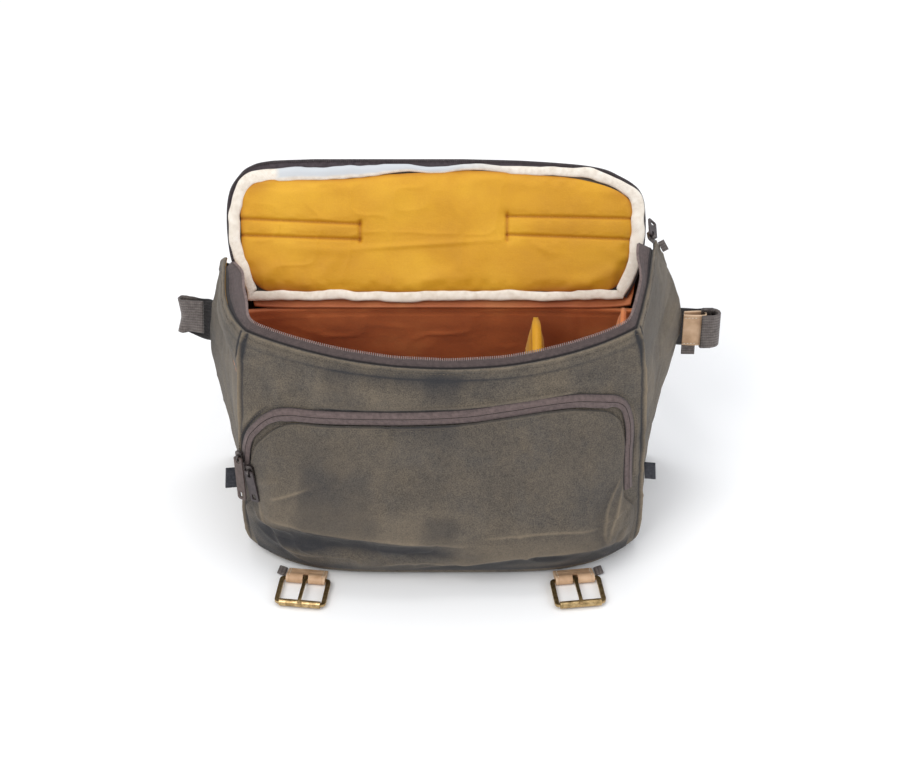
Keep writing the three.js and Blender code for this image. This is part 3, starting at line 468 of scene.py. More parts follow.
def make_canvas():
    m = Material("waxed_canvas", 0.86, specular=0.28, sheen=0.12, sheen_tint=(0.85, 0.8, 0.72, 1))
    patches = m.noise(17, 5, 0.62, distortion=0.4)
    colour = m.ramp(patches, (0.3, srgb(60, 55, 51)), (0.5, srgb(79, 72, 65)), (0.68, srgb(99, 90, 79)))
    colour = m.blend(m.ramp(m.noise(26, 4, 0.6), (0.46, (0, 0, 0, 1)), (0.66, (0.55, 0.55, 0.55, 1))), colour, srgb(66, 68, 72))
    colour = m.blend(m.ramp(m.noise(31, 4, 0.6, stretch=(1.3, 1, 0.8)), (0.5, (0, 0, 0, 1)), (0.7, (0.5, 0.5, 0.5, 1))), colour, srgb(112, 98, 78))
    colour = m.blend(0.36, colour, m.ramp(m.noise(150, 4, 0.72), (0.32, srgb(50, 47, 46)), (0.66, srgb(112, 102, 88))))
    colour = m.blend(0.36, colour, m.ramp(m.noise(900, 2, 0.7), (0.36, srgb(38, 36, 36)), (0.62, srgb(130, 119, 103))))
    colour = m.blend(m.math("MULTIPLY", m.mark("worn"), range_of(m, m.noise(420, 3, 0.7), 0.3, 1.0)), colour, srgb(142, 127, 106))
    # dark mark: painted shade in a bluish near-black, in grooves, hollows, under the rim and under the pocket's ridges,
    # with some random stains mixed in
    colour = m.blend(m.math("MULTIPLY", m.mark("dark"), 0.85), colour, srgb(33, 36, 43))
    colour = m.blend(m.mark("gold"), colour, srgb(222, 164, 50))
    weave = m.math("MULTIPLY", m.wave(0.00105, "X", 0.8), m.wave(0.00105, "Y", 0.8))
    height = m.math("ADD", m.math("MULTIPLY", weave, 0.6), m.math("MULTIPLY", m.noise(700, 3, 0.65), 0.9))
    height = m.math("ADD", height, m.math("MULTIPLY", m.noise(95, 4, 0.6), 1.2))
    return m.finish(colour, range_of(m, patches, 0.76, 0.93), height, 0.0005, 0.5)


def make_nylon(name, deep, body, lit, shade_and_speckle):
    m = Material(name, 0.56, specular=0.34, sheen=0.18, sheen_tint=(1, 0.86, 0.6, 1))
    colour = m.ramp(m.noise(15, 3, 0.5), (0.3, deep), (0.52, body), (0.72, lit))
    colour = m.blend(0.14, colour, m.ramp(m.noise(1400, 1, 0.5), (0.35, shade_and_speckle), (0.65, lit)))
    # painted shade: the dark mark lays this darker tone into channels, edges, corners and low inside the bag; the same
    # tone also serves as the dark end of the fine speckle
    colour = m.blend(m.mark("dark"), colour, shade_and_speckle)
    thread = m.math("ADD", m.wave(0.0007, "X", 0.5), m.wave(0.0007, "Y", 0.5))
    height = m.math("ADD", m.math("MULTIPLY", thread, 0.2), m.math("MULTIPLY", m.noise(130, 4, 0.6, stretch=(1, 1, 1.7)), 1.3))
    return m.finish(colour, range_of(m, m.noise(60, 2), 0.5, 0.64), height, 0.0006, 0.45)


def make_tape(name, low, high, rough=0.72, rib=0.0012, sheen=0.15):
    m = Material(name, rough, specular=0.32, sheen=sheen)
    colour = m.ramp(m.noise(300, 3, 0.6), (0.32, low), (0.66, high))
    colour = m.blend(m.math("MULTIPLY", m.wave(rib, "Y"), 0.35), colour, low)
    colour = m.blend(m.math("MULTIPLY", m.mark("worn"), 0.8), colour, high)
    # painted shade: the dark mark puts near-black into grooves and under the overhanging canvas
    colour = m.blend(m.math("MULTIPLY", m.mark("dark"), 0.92), colour, srgb(24, 21, 23))
    height = m.math("ADD", m.wave(rib, "Y", 0.3), m.math("MULTIPLY", m.wave(rib * 0.8, "X", 0.3), 0.6))
    return m.finish(colour, None, height, 0.0003, 0.6)


def make_webbing():
    m = Material("strap_webbing", 0.75, specular=0.32, sheen=0.2)
    ribs = m.wave(0.0031, "Y", 0.2)
    picks = m.wave(0.0017, "X", 0.3)
    colour = m.ramp(m.noise(260, 3, 0.6), (0.3, srgb(96, 88, 85)), (0.68, srgb(130, 121, 116)))
    colour = m.blend(m.math("MULTIPLY", m.math("SUBTRACT", 1.0, ribs), 0.5), colour, srgb(62, 56, 55))
    colour = m.blend(m.math("MULTIPLY", picks, 0.25), colour, srgb(78, 72, 70))
    # painted shade: the dark mark darkens the webbing where it faces the bag
    colour = m.blend(m.mark("dark"), colour, srgb(38, 35, 37))
    return m.finish(colour, None, m.math("ADD", ribs, m.math("MULTIPLY", picks, 0.5)), 0.0005, 0.7)


def make_binding():
    m = Material("cream_binding", 0.88, specular=0.25, sheen=0.25)
    slant = m.node("ShaderNodeMapping")
    slant.inputs["Rotation"].default_value = (0, 0, math.radians(38))
    m.put(slant.inputs["Vector"], m.cloth)
    twill = m.wave(0.0013, "X", 0.4, slant.outputs["Vector"])
    colour = m.ramp(m.noise(170, 4, 0.65), (0.26, srgb(212, 201, 186)), (0.5, srgb(231, 222, 209)), (0.7, srgb(242, 236, 226)))
    colour = m.blend(m.math("MULTIPLY", twill, 0.3), colour, srgb(186, 172, 154))
    colour = m.blend(m.mark("grey"), colour, srgb(196, 200, 204))
    return m.finish(colour, None, m.math("ADD", twill, m.noise(500, 3, 0.6)), 0.0004, 0.55)


def make_leather():
    m = Material("tan_leather", 0.55, specular=0.42)
    colour = m.ramp(m.noise(75, 5, 0.6), (0.28, srgb(184, 146, 112)), (0.52, srgb(207, 170, 135)), (0.74, srgb(223, 190, 156)))
    cells = m.node("ShaderNodeTexVoronoi", feature="F1")
    cells.inputs["Scale"].default_value = 900
    m.put(cells.inputs["Vector"], m.place)
    colour = m.blend(m.math("MULTIPLY", m.mark("worn"), 0.85), colour, srgb(216, 187, 156))
    colour = m.blend(m.math("MULTIPLY", m.mark("dark"), 0.8), colour, srgb(92, 62, 42))
    height = m.math("ADD", m.math("MULTIPLY", cells.outputs["Distance"], 0.8), m.noise(240, 4, 0.6))
    return m.finish(colour, range_of(m, m.noise(150, 3), 0.46, 0.66), height, 0.0003, 0.5)


def make_metal(name, low, mid, high, rough=(0.26, 0.5)):
    m = Material(name, 0.35, metallic=1.0)
    patina = m.noise(210, 5, 0.65)
    colour = m.ramp(patina, (0.3, low), (0.52, mid), (0.74, high))
    height = m.math("ADD", m.noise(420, 3, 0.6), m.math("MULTIPLY", m.noise(1500, 1), 0.4))
    return m.finish(colour, range_of(m, patina, rough[1], rough[0]), height, 0.0001, 0.3)


def make_plain(name, low, high, rough, scale=260, depth=0.00015, sheen=0.0, specular=0.4):
    m = Material(name, rough, specular=specular, sheen=sheen)
    grain = m.noise(scale, 4, 0.6)
    return m.finish(m.ramp(grain, (0.3, low), (0.7, high)), range_of(m, m.noise(scale * 0.4, 2), rough - 0.08, rough + 0.08), m.noise(scale * 3, 2), depth, 0.4)


M = {
    "canvas": make_canvas(),
    "yellow": make_nylon("yellow_nylon", srgb(187, 131, 14), srgb(201, 145, 20), srgb(214, 161, 34), srgb(156, 90, 12)),
    # painted shade: the yellow lining again, in the orange-brown it takes in the shade inside the bag
    "inner": make_nylon("yellow_nylon_painted_shade", srgb(178, 98, 58), srgb(200, 116, 68), srgb(218, 140, 84), srgb(104, 52, 42)),
    "zip": make_tape("zip_tape", srgb(78, 66, 65), srgb(112, 96, 93)),
    "coil": make_plain("zip_coil", srgb(96, 82, 80), srgb(140, 122, 118), 0.42, 500),
    "dark_tape": make_tape("dark_tape", srgb(50, 43, 47), srgb(76, 66, 70)),
    # painted shade: the grey webbing again, in the dark tone it takes in shadow
    "webbing_in_shade": make_tape("webbing_painted_shade", srgb(40, 42, 48), srgb(66, 66, 72), 0.8, 0.0018),
    "webbing": make_webbing(),
    "binding": make_binding(),
    "leather": make_leather(),
    "brass": make_metal("antique_brass", srgb(126, 104, 70), srgb(184, 156, 110), srgb(220, 196, 150)),
    "gun": make_metal("gunmetal", srgb(58, 54, 54), srgb(96, 90, 88), srgb(140, 132, 128), (0.3, 0.52)),
    "pull": make_plain("taupe_pull", srgb(72, 61, 58), srgb(96, 82, 77), 0.52),
    "dark_pull": make_plain("dark_pull", srgb(50, 44, 46), srgb(74, 65, 65), 0.5),
    "thread": make_plain("brown_thread", srgb(70, 62, 55), srgb(104, 94, 82), 0.7, 900),
    "gold_thread": make_plain("gold_thread", srgb(160, 108, 26), srgb(196, 140, 42), 0.6, 900),
    "pale_thread": make_plain("pale_thread", srgb(206, 192, 170), srgb(232, 222, 204), 0.7, 900),
}


def dress(o, material, body="bag", stands_for=()):
    o.data.materials.clear()
    o.data.materials.append(M[material])
    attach(o, body)
    if stands_for:
        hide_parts(*stands_for)
    return o

# ---------------------------------------------------------------- wall of the bag
FRONT, RIGHT, BACK, LEFT = range(4)


def stations(front, side, back, pack=0.0):
    """Places round the wall: the span and the share t along it, closer together at the seams."""
    def along(n):
        u = np.arange(n) / n
        return u - pack * np.sin(2 * np.pi * u) / (2 * np.pi)
    span = np.repeat([FRONT, RIGHT, BACK, LEFT], [front, side, back, side])
    return span, np.concatenate([along(front), along(side), along(back), along(side)])


def flare(t, z, power):
    return mix(0.62 * t + 0.38 * t**3, 1 - (1 - np.clip(t, 0, 1)) ** power, smooth(z, 190, 244))


def plan(span, t, z):
    sx, sy, wy, fy = wall(z, "seamX"), wall(z, "seamY"), wall(z, "wingY"), wall(z, "frontY")
    s, b = 2 * t - 1, 1 - 2 * t
    x = np.select([span == FRONT, span == RIGHT, span == BACK],
                  [s * sx, mix(sx, wall(z, "wingR"), flare(t, z, 1.5)), b * np.where(b > 0, wall(z, "wingR"), wall(z, "wingL"))],
                  -mix(sx, wall(z, "wingL"), flare(1 - t, z, 4)))
    y = np.select([span == FRONT, span == RIGHT, span == BACK],
                  [fy + (sy - fy) * np.abs(s) ** wall(z, "square"), mix(sy, wy, t), wy + (wall(z, "backY") - wy) * (1 - b**4)],
                  mix(sy, wy, 1 - t))
    return x, y


def rim(span, t):
    return np.select([span == FRONT, span == RIGHT, span == BACK],
                     [at(RIM_FRONT, "s", 2 * t - 1, "z"), at(RIM_RIGHT, "t", t, "z"), at(RIM_BACK, "s", 1 - 2 * t, "z")],
                     at(RIM_LEFT, "t", 1 - t, "z"))


def zip_share(span, t):
    u = np.where(span == RIGHT, t, 1 - t)
    side = np.clip((ZIP_END_T + 0.06 - u) / 0.06, 0, 1)
    return np.select([span == FRONT, span == BACK], [np.ones_like(t), np.zeros_like(t)], side)


def wall_rings(span, t, z, out, passes=60):
    """Points (R, N, 3) for heights z (R, N), moved outwards by out (R, N), and their normals."""
    x, y = plan(span[None], t[None], z)
    ax, ay = plan(np.roll(span, 1)[None], np.roll(t, 1)[None], z)
    bx, by = plan(np.roll(span, -1)[None], np.roll(t, -1)[None], z)
    tx, ty = bx - ax, by - ay
    l = np.hypot(tx, ty)
    nx, ny = ty / l, -tx / l
    for _ in range(passes):
        nx = (np.roll(nx, 1, 1) + 2 * nx + np.roll(nx, -1, 1)) / 4
        ny = (np.roll(ny, 1, 1) + 2 * ny + np.roll(ny, -1, 1)) / 4
    l = np.hypot(nx, ny)
    nx, ny = nx / l, ny / l
    p = np.stack([x + nx * out, y + ny * out, z], -1)
    return p, np.stack([nx, ny, np.zeros_like(nx)], -1)


def foot(z):
    return -BASE_R * (1 - np.sqrt(np.maximum(0, 1 - (1 - np.minimum(z, BASE_R) / BASE_R) ** 2)))


def pocket_xz(s, v):
    s, v = np.asarray(s, float), np.asarray(v, float)
    return (mix(at(POCKET_SIDES, "v", v, "left"), at(POCKET_SIDES, "v", v, "right"), (s + 1) / 2),
            mix(POCKET_FOOT, at(POCKET_TOP, "s", s, "z"), v))


def front_point(x, z, out):
    """Place on the front wall, moved outwards by out."""
    x, z, out = np.broadcast_arrays(*(np.asarray(v, float) for v in (x, z, out)))
    sx, fy, sy, p = wall(z, "seamX"), wall(z, "frontY"), wall(z, "seamY"), wall(z, "square")
    s = np.clip(x / sx, -1, 1)
    slope = (sy - fy) * p * np.abs(s) ** (p - 1) * np.sign(s) / sx
    l = np.hypot(slope, 1)
    return np.stack([x + slope / l * out, fy + (sy - fy) * np.abs(s) ** p - out / l, z], -1)


def build_body():
    span, t = stations(230, 84, 130, 0.62)
    top = rim(span, t) - ZIP_RISE * zip_share(span, t)
    low = np.array([0, 0.5, 1.2, 2.4, 4, 6, 8, 10])
    share = np.linspace(0, 1, 112)[1:]
    z = np.vstack([np.broadcast_to(low[:, None], (8, len(t))), 10 + share[:, None] * (top[None] - 10)])
    out = foot(np.maximum(z, 0.5))
    p, n = wall_rings(span, t, z, out)
    step = np.linalg.norm(p - np.roll(p, 1, 1), axis=-1)
    arc = np.cumsum(step, 1) - step[:, :1]
    girth = arc[:, -1:] + step[:, :1]
    corner = arc[:, [230]]
    seam = np.minimum(np.minimum(arc, girth - arc), np.abs(arc - corner))
    beyond = np.where(arc < corner, -seam, seam)
    below = top[None] - z
    x, y = p[..., 0], p[..., 1]
    ahead = span[None] == FRONT
    # how far a point is clear of the front pocket, 0 under it and 1 well outside
    v = np.clip((z - POCKET_FOOT) / 188, 0, 1)
    s = np.clip((x - mix(at(POCKET_SIDES, "v", v, "left"), at(POCKET_SIDES, "v", v, "right"), 0.5)) / 178, -1, 1)
    over = smooth(z - at(POCKET_TOP, "s", s, "z"), -2, 16)
    beside = smooth(np.maximum(x - at(POCKET_SIDES, "v", v, "right"), at(POCKET_SIDES, "v", v, "left") - x), -2, 9)
    free = np.where(ahead, np.maximum(over, beside), 1)
    calm = smooth(z, 4, 40)
    past = np.maximum(z - at(POCKET_TOP, "s", s, "z"), np.maximum(x - at(POCKET_SIDES, "v", v, "right"), at(POCKET_SIDES, "v", v, "left") - x))
    arch_edge = np.where(ahead, 1, 0) * smooth(z, 96, 108) * (1 - smooth(z, 178, 190) * smooth(np.abs(x - 6), 104, 122))
    d = 2.1 * layered(p, 74, 11) + 0.8 * layered(p, 21, 21, 2) + 1.2 * creases(p * [1, 1, 1.5], 62, 31) - 0.9 * creases(p * [1.4, 1.4, 0.8], 47, 37)
    side_fold = np.where(ahead, 0, 2.4 * np.sin(z / 21 + x * 0.03) * bell(seam - 34, 26)) * smooth(z, 20, 70)
    d = (d + side_fold) * free * calm * smooth(below, 0, 26)
    d = d + (1.5 * bell(seam, 1.5) - 0.8 * bell(seam - 3.4, 1.2) + 0.5 * smooth(7 - beyond, 0, 2) * (beyond > 0)) * smooth(z, 6, 18) * np.where(ahead, free, 1)
    pucker = noise(np.stack([arc, below * 0.3, 0 * arc], -1), 7.5, 41)
    d = d + 0.65 * pucker * bell(below - 5, 9) + 0.5 * smooth(13 - below, 0, 2) - 0.7 * bell(below - 12.5, 1.1) - 0.45 * bell(below - 5, 0.9)
    d = d - np.where(ahead, 3.4 * bell(x + 22, 62) * bell(below - 15, 11), 0)
    d = np.where(d < 0, -1.6 * np.tanh(-d / 1.6), d) + arch_edge * (1.5 * smooth(past, -0.8, 1.6) * smooth(9 - past, 0, 6) + 0.4 * bell(past - 3, 1.6))
    p = p + n * d[..., None]
    worn = 0.85 * bell(seam, 1.7) * smooth(z, 6, 20) + 0.5 * bell(below, 1.6) + 0.3 * np.clip(d, 0, 2) / 2 + 0.5 * bell(z - 11, 6) * smooth(noise(p, 30, 71), -0.2, 0.6)
    # painted shade beside the corner seams, under the mouth stitching, in hollows, under the rim and along the pocket's
    # zip arch, with some random stains
    dark = (0.7 * bell(seam - 3.6, 1.5) + 0.75 * bell(below - 12.5, 1.4) * 0.6 + 0.35 * np.clip(-d, 0, 2) / 2
            + np.where(ahead, 0.34 * bell(x + 22, 90) * bell(below - 13, 7), 0) + 0.35 * smooth(noise(p, 46, 81), 0.25, 0.8)
            + 0.9 * bell(seam - 2.5, 3) * bell(below - 14, 15) + 1.0 * arch_edge * bell(past + 0.6, 1.5))
    inside = [(0.6, -0.5), (0.2, -CANVAS + 0.5)]
    rings = [p]
    for drop, o in [(-0.5, -0.55), (-0.5, -1.65), (0, -CANVAS)]:
        q, _ = wall_rings(span, t, (top - drop - 0.3)[None], np.full((1, len(t)), float(o)))
        rings.append(q)
    for level in [top - 8, top - 18] + [np.full(len(t), h) for h in (185.0, 150.0, 100.0, 50.0, 14.0)]:
        rings.append(wall_rings(span, t, level[None], np.full((1, len(t)), -CANVAS - 0.05))[0])
    rings.append(wall_rings(span, t, np.full((1, len(t)), CANVAS), np.full((1, len(t)), -CANVAS - 3.0))[0])
    p_all = np.vstack(rings)
    extra = len(p_all) - len(p)
    uv = np.stack([np.vstack([arc, np.repeat(arc[-1:], extra, 0)]), p_all[..., 2]], -1) * 0.001
    pad = lambda a: np.vstack([np.clip(a, 0, 1), np.zeros((extra, len(t)))])
    gold, inside_dark = np.zeros(p_all.shape[:2]), pad(dark)
    side_t = np.where(span == LEFT, 1 - t, t)
    inside_dark[len(p) + 1:] = 0.9
    gold[len(p) + 2:len(p) + 6, (span == LEFT) & (side_t > 0.3)] = 1
    inside_dark[len(p) + 2:len(p) + 6, (span == LEFT) & (side_t > 0.3)] = 0
    body = loft("bag_canvas", p_all, uv, {"worn": pad(worn), "dark": inside_dark, "gold": gold})
    dress(body, "canvas", stands_for=["body_shell"])
    # stitching below the mouth
    rows = np.arange(len(t))
    zipped = zip_share(span, t) > 0.99
    order = np.concatenate([rows[(span == LEFT) & zipped], rows[span == FRONT], rows[(span == RIGHT) & zipped]])
    top_row = len(p) - 1
    line = []
    for i in order:
        k = np.interp(top[i] - 5.0, z[:, i], np.arange(len(z)))
        j = min(int(k), top_row - 1)
        line.append(p[j, i] + (p[j + 1, i] - p[j, i]) * (k - j))
    line = np.array(line)
    nrm = n[top_row, order]
    pts, ahead_dir, share = every(line, 3.7)
    k = np.interp(share, np.linspace(0, 1, len(nrm)), np.arange(len(nrm))).astype(int)
    dress(stitched("mouth_stitching", pts + nrm[k] * 0.15, ahead_dir, nrm[k], 2.5, 0.38), "thread")
    return span, t, top


build_body()


# ---------------------------------------------------------------- mouth zip
def build_mouth_zip():
    span, t = stations(430, 150, 180)
    high = rim(span, t)
    keep = zip_share(span, t) > 0.999
    order = np.concatenate([np.nonzero((span == LEFT) & keep)[0], np.nonzero(span == FRONT)[0], np.nonzero((span == RIGHT) & keep)[0]])
    inn = -CANVAS - GAP - 0.15
    profile = [(ZIP_RISE + ZIP_SEWN, inn), (ZIP_RISE + 2, inn + 0.05), (ZIP_RISE - 1.5, inn - 0.1), (6, inn - 0.9), (3, inn - 2.2), (1, inn - 3.2), (0.2, inn - 3.7),
               (0.2, inn - 4.3), (1.2, inn - 4.5), (3.2, inn - 3.5), (6, inn - 2.2), (ZIP_RISE - 1, inn - 1.4), (ZIP_RISE + 3, inn - TAPE), (ZIP_RISE + ZIP_SEWN, inn - TAPE)]
    rings, normals = [], None
    for rise, out in profile:
        p, nrm = wall_rings(span, t, (high - rise)[None], np.full((1, len(t)), float(out)))
        side_t = np.where(span == LEFT, 1 - t, t)
        fall = np.select([span == LEFT, span == RIGHT], [10 * smooth(side_t, 0, 0.3) * (1 - smooth(side_t, 0.6, 0.76)), -8 * smooth(side_t, 0.42, 0.66)], 0)
        p[0, :, 0] += fall * np.clip(1 - rise / ZIP_RISE, 0, 1)
        rings.append(p[0, order])
        normals = nrm[0, order]
    rings = np.array(rings).transpose(1, 0, 2)
    rounded = rings.copy()
    for _ in range(160):
        rounded[1:-1] = (rounded[:-2] + 2 * rounded[1:-1] + rounded[2:]) / 4
    rings = mix(rings, rounded, np.clip(1 - np.array([r for r, _ in profile]) / (ZIP_RISE + 3), 0, 1)[None, :, None])
    along = np.append(0, np.cumsum(np.linalg.norm(np.diff(rings[:, 5], axis=0), axis=1)))
    wobble = 0.5 * noise(np.stack([along, 0 * along, 0 * along], -1), 24, 51)
    rings = rings + (normals * wobble[:, None])[:, None] * np.array([0, 0, 0.3, 0.6, 0.8, 1, 1, 1, 1, 0.8, 0.6, 0.3, 0, 0])[None, :, None]
    across = np.array([r for r, _ in profile])
    uv = np.stack([np.broadcast_to(along[:, None], rings.shape[:2]), np.broadcast_to(across[None], rings.shape[:2])], -1) * 0.001
    worn, shade = np.zeros(rings.shape[:2]), np.zeros(rings.shape[:2])
    worn[:, 4:7] = 0.5
    # painted shade: the whole tape is darkened, and darkest where the canvas hem overhangs it
    shade[:] = 0.5
    shade[:, 1:3] = 1
    dress(loft("mouth_tape", rings, uv, {"worn": worn, "dark": shade}), "zip", stands_for=["mouth_zip_tape"])
    edge = rings[:, 6]
    pts, ahead_dir, share = every(edge, 1.9, 4, 4)
    k = (share * (len(edge) - 1)).astype(int)
    inward = unit(-normals[k] * 0.8 + np.array([0, 0, 0.45]))
    upward = unit(np.cross(ahead_dir, inward)); upward[upward[:, 2] < 0] *= -1
    dress(stitched("mouth_coil", pts + inward * 0.8 + upward * 0.45, inward, upward, 3.2, 0.62, 0), "coil")


build_mouth_zip()

# ---------------------------------------------------------------- padded lining
LINING_BACK_TOP = 199


def build_lining():
    span, t = stations(170, 70, 110, 0.3)
    u = np.where(span == RIGHT, t, 1 - t)
    zipped = rim(span, t) - ZIP_RISE - ZIP_SEWN - 2
    lined = np.select([span == FRONT, span == BACK], [zipped, np.full(len(t), LINING_BACK_TOP)], mix(zipped, LINING_BACK_TOP, smooth(u, 0.62, 1)))

    def ring(z, out):
        p, n = wall_rings(span, t, z[None], np.broadcast_to(np.asarray(out, float), (1, len(t))), 30)
        p, n = p[0], n[0]
        k = smooth(z, 70, LINING_BACK_TOP + 10) * 31
        dx = np.select([span == BACK, span == RIGHT, span == LEFT], [-0.55 * k * (1 - 2 * t) ** 5, -k * 0.55 * u**3, k * 0.55 * u**3], 0)
        dy = np.select([span == BACK, (span == RIGHT) | (span == LEFT)], [-k, -k * u**3], 0)
        return p + np.stack([dx, dy, 0 * dx], -1), n

    lin_out = -CANVAS - GAP - 0.75
    lin_in = lin_out - PAD
    rings, depth = [], []
    rings.append(ring(np.full(len(t), CANVAS + GAP), lin_out - 5)[0]); depth.append(0)
    for f in (0, 0.3, 0.6, 1):
        rings.append(ring(mix(16, lined, f), lin_out)[0]); depth.append(0)
    rings.append(ring(lined + 1.2, lin_out - 1.2)[0]); depth.append(0)
    rings.append(ring(lined + 1.2, lin_in + 1.4)[0]); depth.append(0)
    for f in np.linspace(1, 0, 74):
        z = mix(22, lined, f)
        p, n = ring(z, lin_in)
        w = smooth(f, 0, 0.12) * smooth(1.02 - f, 0, 0.1)
        d = (1.7 * layered(p, 58, 91) + 1.5 * creases(p * [1, 1, 1.35], 48, 95) + 0.8 * creases(p * [1.3, 1.3, 0.7], 27, 98)) * w - 1.2 * w
        p = p - n * d[:, None] + n * 0.9 * np.exp(-(((lined - z) - 7) / 1.4) ** 2)[:, None]
        rings.append(p); depth.append(1 - f)
    rings.append(ring(np.full(len(t), CANVAS + GAP + PAD + 3), lin_in - 2)[0]); depth.append(1)
    rings.append(ring(np.full(len(t), CANVAS + GAP + PAD), lin_in - 5)[0]); depth.append(1)
    rings = np.array(rings)
    step = np.linalg.norm(rings - np.roll(rings, 1, 1), axis=-1)
    uv = np.stack([np.cumsum(step, 1), rings[..., 2]], -1) * 0.001
    # painted shade: the lining takes the shaded copy of the yellow nylon and is darkened further towards the bottom of
    # the bag
    dark = np.broadcast_to(smooth(np.array(depth), 0.3, 1.0)[:, None] * 0.55, rings.shape[:2])
    lining = loft("padded_lining", rings, uv, {"dark": dark})
    dress(lining, "inner", stands_for=["lining_shell"])


build_lining()

# ---------------------------------------------------------------- lid
LID_TOP = 133.5
COS, SIN = math.cos(LID_TILT), math.sin(LID_TILT)
LID_NORMAL = np.array([0, -SIN, COS])


def lid_point(x, d, n):
    x, d, n = np.broadcast_arrays(*(np.asarray(v, float) for v in (x, d, n)))
    return np.stack([x, HINGE_Y + d * COS - n * SIN, HINGE_Z + d * SIN + n * COS], -1)


def lid_outline():
    """Outline of the lid (N, 2), from the right hinge corner up, over the top and down to the left one, then back along the hinge."""
    d = np.concatenate([np.linspace(0, 100, 60, endpoint=False), 100 + 33.5 * np.sin(np.linspace(0, np.pi / 2, 50))])
    right = np.stack([at(LID, "d", d, "right"), d], -1)
    top = np.stack([np.linspace(20, -120, 72)[1:-1], np.full(70, LID_TOP)], -1)
    left = np.stack([at(LID, "d", d[::-1], "left"), d[::-1]], -1)
    low = np.stack([np.linspace(-183, 170, 190)[1:-1], np.zeros(188)], -1)
    return np.vstack([right, top, left, low]), len(right) + len(top) + len(left)


OUTLINE, FREE = lid_outline()


def lid_inset(side, top, low, soften=14):
    """The lid's outline moved inwards by side, top or low as its direction asks, and its direction inwards."""
    p = OUTLINE
    tan = np.roll(p, -1, 0) - np.roll(p, 1, 0)
    for _ in range(soften):
        tan = (np.roll(tan, 1, 0) + 2 * tan + np.roll(tan, -1, 0)) / 4
    tan = tan / np.linalg.norm(tan, axis=1, keepdims=True)
    inward = np.stack([-tan[:, 1], tan[:, 0]], -1)
    upper = p[:, 1] > 60
    side, top, low = (np.broadcast_to(np.asarray(v, float), len(p)) for v in (side, top, low))
    k = side * tan[:, 1] ** 2 + np.where(upper, top, low) * tan[:, 0] ** 2
    return p + inward * k[:, None], inward, k


def thread_line(name, a, b, n_at, pitch=3.3, material="gold_thread"):
    """Stitches on the lid from a to b, each an (x, d) pair."""
    count = max(2, int(np.hypot(b[0] - a[0], b[1] - a[1]) / pitch))
    s = (np.arange(count) + 0.5) / count
    x, d = mix(a[0], b[0], s), mix(a[1], b[1], s)
    along = np.broadcast_to(np.array([b[0] - a[0], (b[1] - a[1]) * COS, (b[1] - a[1]) * SIN]), (count, 3))
    return lid_point(x, d, n_at(x, d) + 0.1), along, np.broadcast_to(LID_NORMAL, (count, 3))


def line_distance(x, d, a, b):
    """Distance from the segment a to b, and the share along it."""
    vx, vd = b[0] - a[0], b[1] - a[1]
    l = vx * vx + vd * vd
    s = np.clip(((x - a[0]) * vx + (d - a[1]) * vd) / l, 0, 1)
    return np.hypot(x - a[0] - s * vx, d - a[1] - s * vd), s


CHANNELS = [((-190, 77.5), (-77, 72.3)), ((-190, 62), (-77, 58)), ((60.3, 79.6), (178, 77.5)), ((60.3, 62.4), (178, 58)),
            ((-77, 74.6), (-77, 56)), ((60.3, 82), (60.3, 57))]
# soft folds of the lid's lining: from, to, how wide and how high
LID_FOLDS = [((-84, 49), (54, 57.5), 2.6, 1.3), ((-70, 78), (-30, 116), 13, 2.0), ((-140, 50), (-80, 47), 5, 1.2), ((40, 58), (20, 22), 11, 1.7),
             ((-176, 20), (-150, 34), 7, 1.6), ((120, 12), (170, 34), 7, 1.7), ((-120, 14), (-96, 44), 6, 1.1), ((86, 54), (100, 46), 4, 1.4),
             ((-40, 10), (6, 24), 7, 1.3), ((-176, 108), (-150, 118), 6, 1.7), ((150, 112), (172, 96), 7, 1.6), ((-30, 88), (60, 92), 12, 0.9),
             ((-176, 46), (-130, 22), 8, 1.1), ((150, 50), (172, 40), 6, 1.3)]


